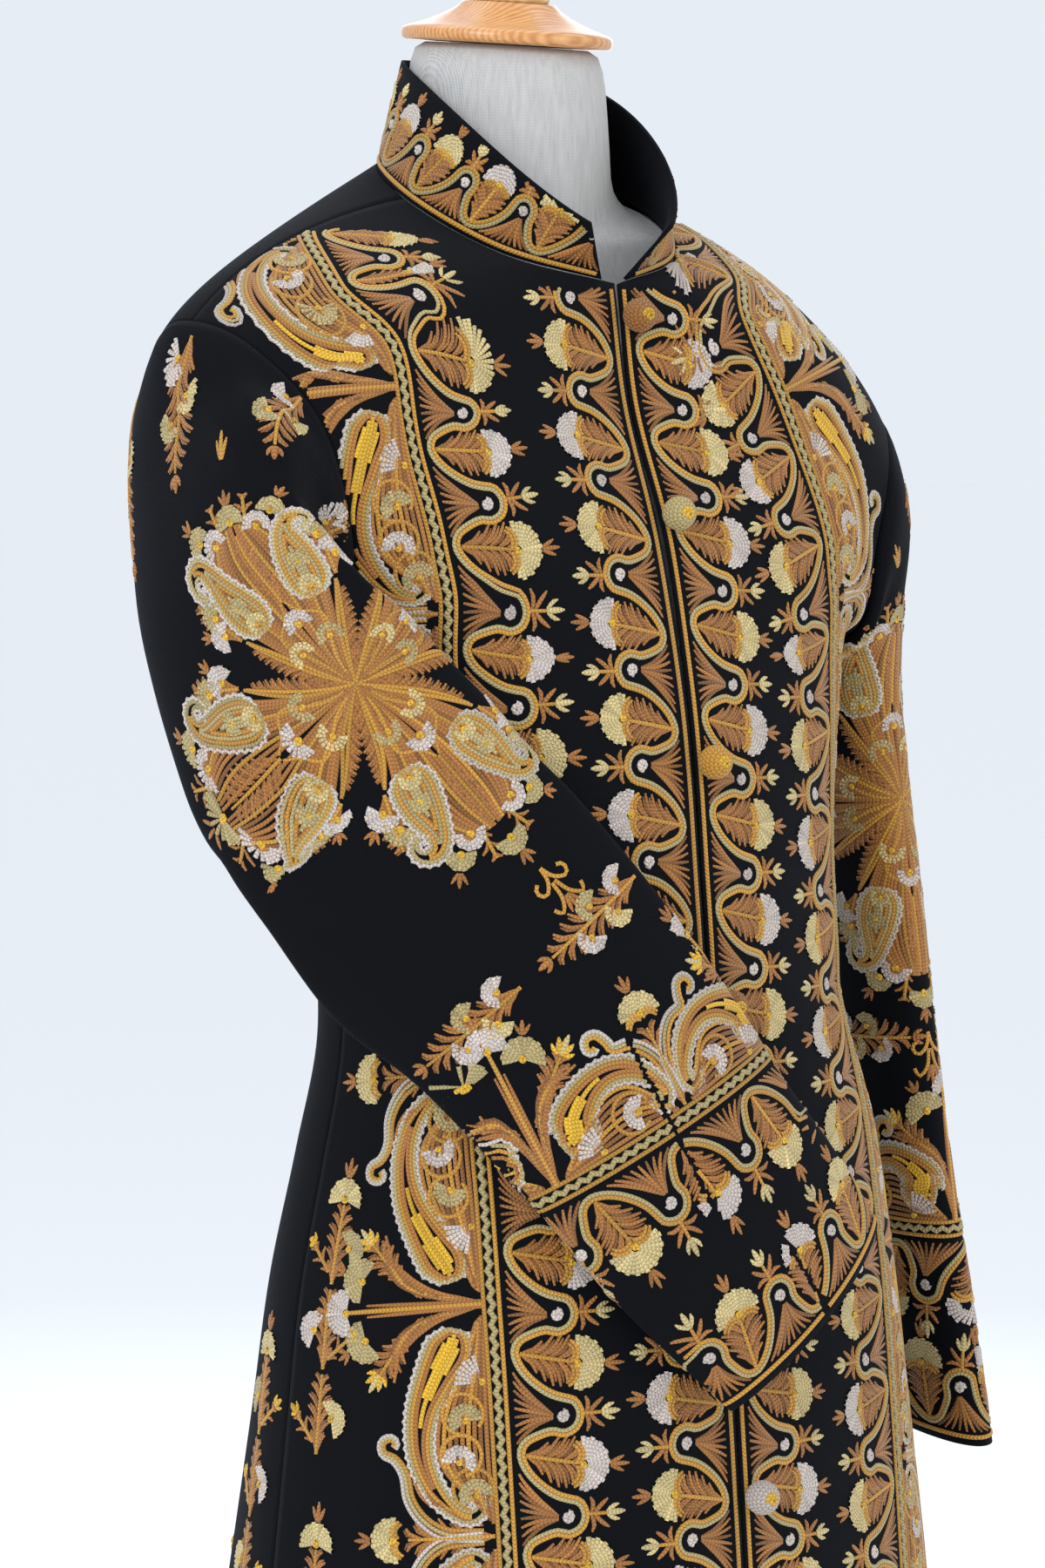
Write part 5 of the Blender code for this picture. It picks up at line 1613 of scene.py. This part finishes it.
# Fronts: the wave border up the opening, the braid with its own wave inside and paisleys outside
frontGuides = {
    # row and mm from the front edge, up the line of the braid
    "right": ((0, 146), (40, 144), (80, 142), (120, 141), (138, 143), (150, 152), (160, 161), (168, 164),
              (174, 150), (180, 122), (186, 92), (192.4, 70)),
    "left": ((0, 146), (30, 146), (60, 150), (120, 141), (138, 138), (150, 132), (158, 122), (165, 109),
             (172, 88), (178, 64), (184, 40), (192.4, 26)),
}
frontWork = {
    "topDot": {"right": 1.3509, "left": 1.3400},    # height of the highest white dot at the opening
    "edgeRepeat": 52.6,
    "innerDot": 1.018,                              # height of a white dot beside the braid
    "bandCentre": 1.058,                            # height of the middle of a band module
    "bandPeriod": 247.0,
}
for key, side in (("right", -1), ("left", 1)):
    surface = surfaces[key]
    neckNumber = int(np.argmin(np.abs(np.array(panelPlaces(side, True)) - halfKnots(side)[neckRow])))
    edgeChart = makeChart(surface, [(r, 0.0) for r in np.linspace(0.0, neckNumber, 40)], 0.0, 82.0, -side)
    length = chartLength(edgeChart)
    repeat = frontWork["edgeRepeat"]
    top = lengthAt(edgeChart, frontWork["topDot"][key])
    if key == "left":
        rows = border(top % repeat, int(length / repeat) + 1, repeat, (1.0, length))
    else:                                  # here the wave leans the other way
        far = 2.0 * top
        rows = border(top % repeat, 2 * int(far / repeat), repeat, (far - length, far - 1.0))
        rows = moved(rows, (-1.0, 1.0), (far, 0.0))
    lay(key, edgeChart, rows)
    braidChart = makeChart(surface, edgeGuide(surface, frontGuides[key]), -84.0, 108.0, -side)
    length = chartLength(braidChart)
    lay(key, braidChart, braid(1.0, length))
    repeat = waveBorder["narrowRepeat"]
    first = lengthAt(braidChart, frontWork["innerDot"]) % repeat
    inner = border(first, int(length / repeat) + 1, repeat, (1.0, length), edge=False)
    lay(key, braidChart, moved(inner, (1.0, -1.0), (0.0, -braidRows["waveGap"])))
    middle = lengthAt(braidChart, frontWork["bandCentre"])
    lay(key, braidChart, band(1.0, length, middle, frontWork["bandPeriod"]))
print("fronts embroidered")

# Collar: the wave border above the seam, cut off by the collar's top edge
collarChart = makeChart(surfaces["collar"], [(0.3, c) for c in np.linspace(0.0, 76.0, 77)], 0.0, 62.0, -1.0)
length = chartLength(collarChart)
repeat = waveBorder["collarRepeat"]
lay("collar", collarChart, border(14.0, int(length / repeat) + 1, repeat, (0.5, length), spread=0.76))

# Sleeves: a medallion, a band round the forearm and the wave border round the cuff
sleeveWork = {
    # row and column of the medallion's centre, rows of the band, the cuff border and the sprays
    "sleeveRight": {"medallion": (33, 114), "band": 92.0, "cuff": 121.3, "flip": 1.0, "sprays": 70.0},
    "sleeveLeft": {"medallion": (35, 95), "band": 87.0, "cuff": 111.3, "flip": -1.0, "sprays": 64.0},
}
# place beyond the medallion's centre and length of the sprays towards the shoulder
shoulderSprays = (
    ((-206.0, 34.0), 62.0), ((-206.0, -40.0), 66.0), ((-190.0, 104.0), 76.0), ((-190.0, -104.0), 76.0),
)


def ringChart(surface, at, low, high, flip):
    guide = [(at, c) for c in np.linspace(0.0, surface["points"].shape[1], 127)]
    return makeChart(surface, guide, low, high, flip)


for key, work in sleeveWork.items():
    surface = surfaces[key]
    centreRow, centreColumn = work["medallion"]
    last = min(surface["points"].shape[0] - 2.0, 80.0)
    guide = [(r, float(centreColumn)) for r in np.linspace(1.0, last, 60)]
    chart = makeChart(surface, guide, -150.0, 150.0, work["flip"])
    centre = surface["points"][centreRow, centreColumn]
    chart["start"] = -chartStep * int(np.argmin(np.linalg.norm(guideLine(chart) - centre, axis=1)))
    lay(key, chart, medallion())
    for at, length in shoulderSprays:
        lay(key, chart, placed(spray(length, 12.5, 3), at))
    lay(key, chart, placed(bud(16.0, "gold"), (-142.0, 0.0), 180.0))

    ring = ringChart(surface, work["band"], -110.0, 84.0, work["flip"])
    girth = chartLength(ring) + chartStep
    sprays = ringChart(surface, work["sprays"], -30.0, 30.0, work["flip"])
    around = chartLength(sprays) / 4.0
    for k in range(4):
        lay(key, sprays, placed(spray(0.82 * around, 12.0, 4), (around * (k + 0.08), 0.0)))
    lay(key, ring, braid(0.0, girth))
    count = int(round(girth / waveBorder["narrowRepeat"]))
    inner = border(20.0, count, girth / count, (0.0, girth), edge=False)
    lay(key, ring, moved(inner, (1.0, 1.0), (0.0, braidRows["waveGap"])))
    lay(key, ring, moved(band(0.0, girth, 70.0, girth / 2.0), (1.0, -1.0)))

    ring = ringChart(surface, work["cuff"], -2.0, 84.0, -work["flip"])
    girth = chartLength(ring) + chartStep
    count = int(round(girth / waveBorder["narrowRepeat"]))
    lay(key, ring, border(20.0, count, girth / count, (0.0, girth)))
print("sleeves embroidered")

# Skirt: leafy spikes beside the side seams and over the back
spikes = (
    # panels, columns at its foot and head, rows of the guide, mm from the hem, length in mm
    (("right", "left"), (59.0, 60.5), (0.0, 100.0), 6.0, 215.0),
    (("right", "left"), (61.0, 61.0), (0.0, 100.0), 238.0, 170.0),
    (("backRight", "backLeft"), (57.0, 58.0), (197.5, 90.0), 6.0, 300.0),
    (("backRight", "backLeft"), (20.0, 16.0), (197.5, 60.0), 6.0, 400.0),
    (("backRight", "backLeft"), (38.0, 36.0), (197.5, 90.0), 6.0, 215.0),
)
for keys, (low, high), (first, last), start, length in spikes:
    guide = [(first + (last - first) * t, low + (high - low) * t) for t in np.linspace(0.0, 1.0, 40)]
    for key in keys:
        lay(key, makeChart(surfaces[key], guide, -28.0, 28.0), placed(spike(length), (start, 0.0)))

embroidered = {
    "frontRight": sewn("embroideryFrontRight", sewnRows["right"]),
    "frontLeft": sewn("embroideryFrontLeft", sewnRows["left"]),
    "back": sewn("embroideryBack", sewnRows["backRight"] + sewnRows["backLeft"]),
    "sleeveRight": sewn("embroiderySleeveRight", sewnRows["sleeveRight"]),
    "sleeveLeft": sewn("embroiderySleeveLeft", sewnRows["sleeveLeft"]),
    "collar": sewn("embroideryCollar", sewnRows["collar"]),
}

# Ball buttons: chain stitch wound over a bead from the yellow eye back to a wrapped shank
buttonWork = {
    "radius": 0.0084,
    "middle": 0.0092,       # from the front of the button to the middle of its bead
    "shankRadius": 0.0016,
    "shankStart": 0.0074,   # behind the middle of the bead
    "shankEnd": 0.0004,     # in front of the button's back
    "turns": 11.0,
    "steps": 320,
    "eyeSteps": 44,
    "shankSteps": 60,
    "shankTurns": 5.0,
    "rowMm": 2.55,
    "shankRowMm": 1.3,
    "colours": ("copper", "sage", "gold", "copper", "cream", "white"),
}
for k, colour in enumerate(buttonWork["colours"]):
    low, high = (np.array(corner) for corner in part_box("button_%d" % (k + 1)))
    middle = np.array((0.5 * (low[0] + high[0]), low[1] + buttonWork["middle"], 0.5 * (low[2] + high[2])))
    angle = np.linspace(0.04, math.pi - 0.18, buttonWork["steps"])
    spin = 2.0 * buttonWork["turns"] * angle
    outwards = np.stack((np.sin(angle) * np.cos(spin), -np.cos(angle), np.sin(angle) * np.sin(spin)), axis=1)
    windings = middle + buttonWork["radius"] * outwards
    size = np.full(len(angle), buttonWork["rowMm"])
    eye = buttonWork["eyeSteps"]
    rows = [(windings[:eye], outwards[:eye], size[:eye], "yellow"),
            (windings[eye - 1:], outwards[eye - 1:], size[eye - 1:], colour)]
    steps = buttonWork["shankSteps"]
    turn = np.linspace(0.0, 2.0 * math.pi * buttonWork["shankTurns"], steps)
    around = np.stack((np.cos(turn), np.zeros(steps), np.sin(turn)), axis=1)
    shank = middle + around * buttonWork["shankRadius"]
    shank[:, 1] = np.linspace(middle[1] + buttonWork["shankStart"], high[1] - buttonWork["shankEnd"], steps)
    rows.append((shank, around, np.full(steps, buttonWork["shankRowMm"]), colour))
    button = sewn("button%d" % (k + 1), [rows])
    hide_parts("button_%d" % (k + 1))
print("buttons made")

# Camera, light and floor


def basisMatrix(columns, place):
    right, up, back = columns
    return Matrix((
        (right[0], up[0], back[0], place[0]),
        (right[1], up[1], back[1], place[1]),
        (right[2], up[2], back[2], place[2]),
        (0.0, 0.0, 0.0, 1.0),
    ))


view = {
    "place": (-1.59462608, -1.92550036, 1.275),
    "turn": math.radians(39.0),
    "down": math.radians(4.4934),
    "lens": 152.7,
}
forward = np.array((
    math.sin(view["turn"]) * math.cos(view["down"]),
    math.cos(view["turn"]) * math.cos(view["down"]),
    -math.sin(view["down"]),
))
rightward = np.array((math.cos(view["turn"]), -math.sin(view["turn"]), 0.0))
upward = np.cross(rightward, forward)
lens = bpy.data.cameras.new("photoCamera")
lens.sensor_fit = "HORIZONTAL"
lens.sensor_width = 36.0
lens.lens = view["lens"]
lens.clip_end = 300.0
camera = bpy.data.objects.new("photoCamera", lens)
camera.matrix_world = basisMatrix((rightward, upward, -forward), view["place"])
bpy.context.scene.collection.objects.link(camera)
bpy.context.scene.camera = camera

lights = {
    # name: place, size, watts, colour, point it looks at
    "window": ((-2.6, -1.2, 2.4), 1.8, 48.0, "#f2f7ff", (0.0, 0.0, 1.1)),
    "frontSoft": ((1.4, -3.0, 2.0), 2.4, 20.0, "#fffaf2", (0.0, 0.0, 1.1)),
    "top": ((0.2, 0.4, 3.4), 2.6, 16.0, "#ffffff", (0.0, 0.0, 1.2)),
    "backRim": ((2.2, 2.4, 2.2), 2.0, 24.0, "#f6f9ff", (0.0, 0.0, 1.1)),
}
for name, (place, size, watts, colour, target) in lights.items():
    lamp = bpy.data.lights.new(name, "AREA")
    lamp.shape = "DISK"
    lamp.size = size
    lamp.energy = watts
    lamp.color = linear(colour)[:3]
    item = bpy.data.objects.new(name, lamp)
    item.location = place
    item.rotation_mode = "QUATERNION"
    item.rotation_quaternion = (Vector(target) - Vector(place)).to_track_quat("-Z", "Y")
    bpy.context.scene.collection.objects.link(item)

world = bpy.data.worlds.new("studio")
world.use_nodes = True
world.node_tree.nodes["Background"].inputs["Color"].default_value = linear("#e6edf5")
world.node_tree.nodes["Background"].inputs["Strength"].default_value = 1.0
bpy.context.scene.world = world
bpy.context.scene.view_settings.view_transform = "Standard"
bpy.context.scene.view_settings.look = "None"

floorMesh = bpy.data.meshes.new("floor")
floorMesh.from_pydata([(-90, -90, 0), (90, -90, 0), (90, 90, 0), (-90, 90, 0)], [], [(0, 1, 2, 3)])
floorMaterial = newMaterial("paleFloor", {"Roughness": 0.8, "Base Color": linear("#ffffff")})[0]
floor = addPiece("floor", floorMesh, floorMaterial)
print("camera and light set")
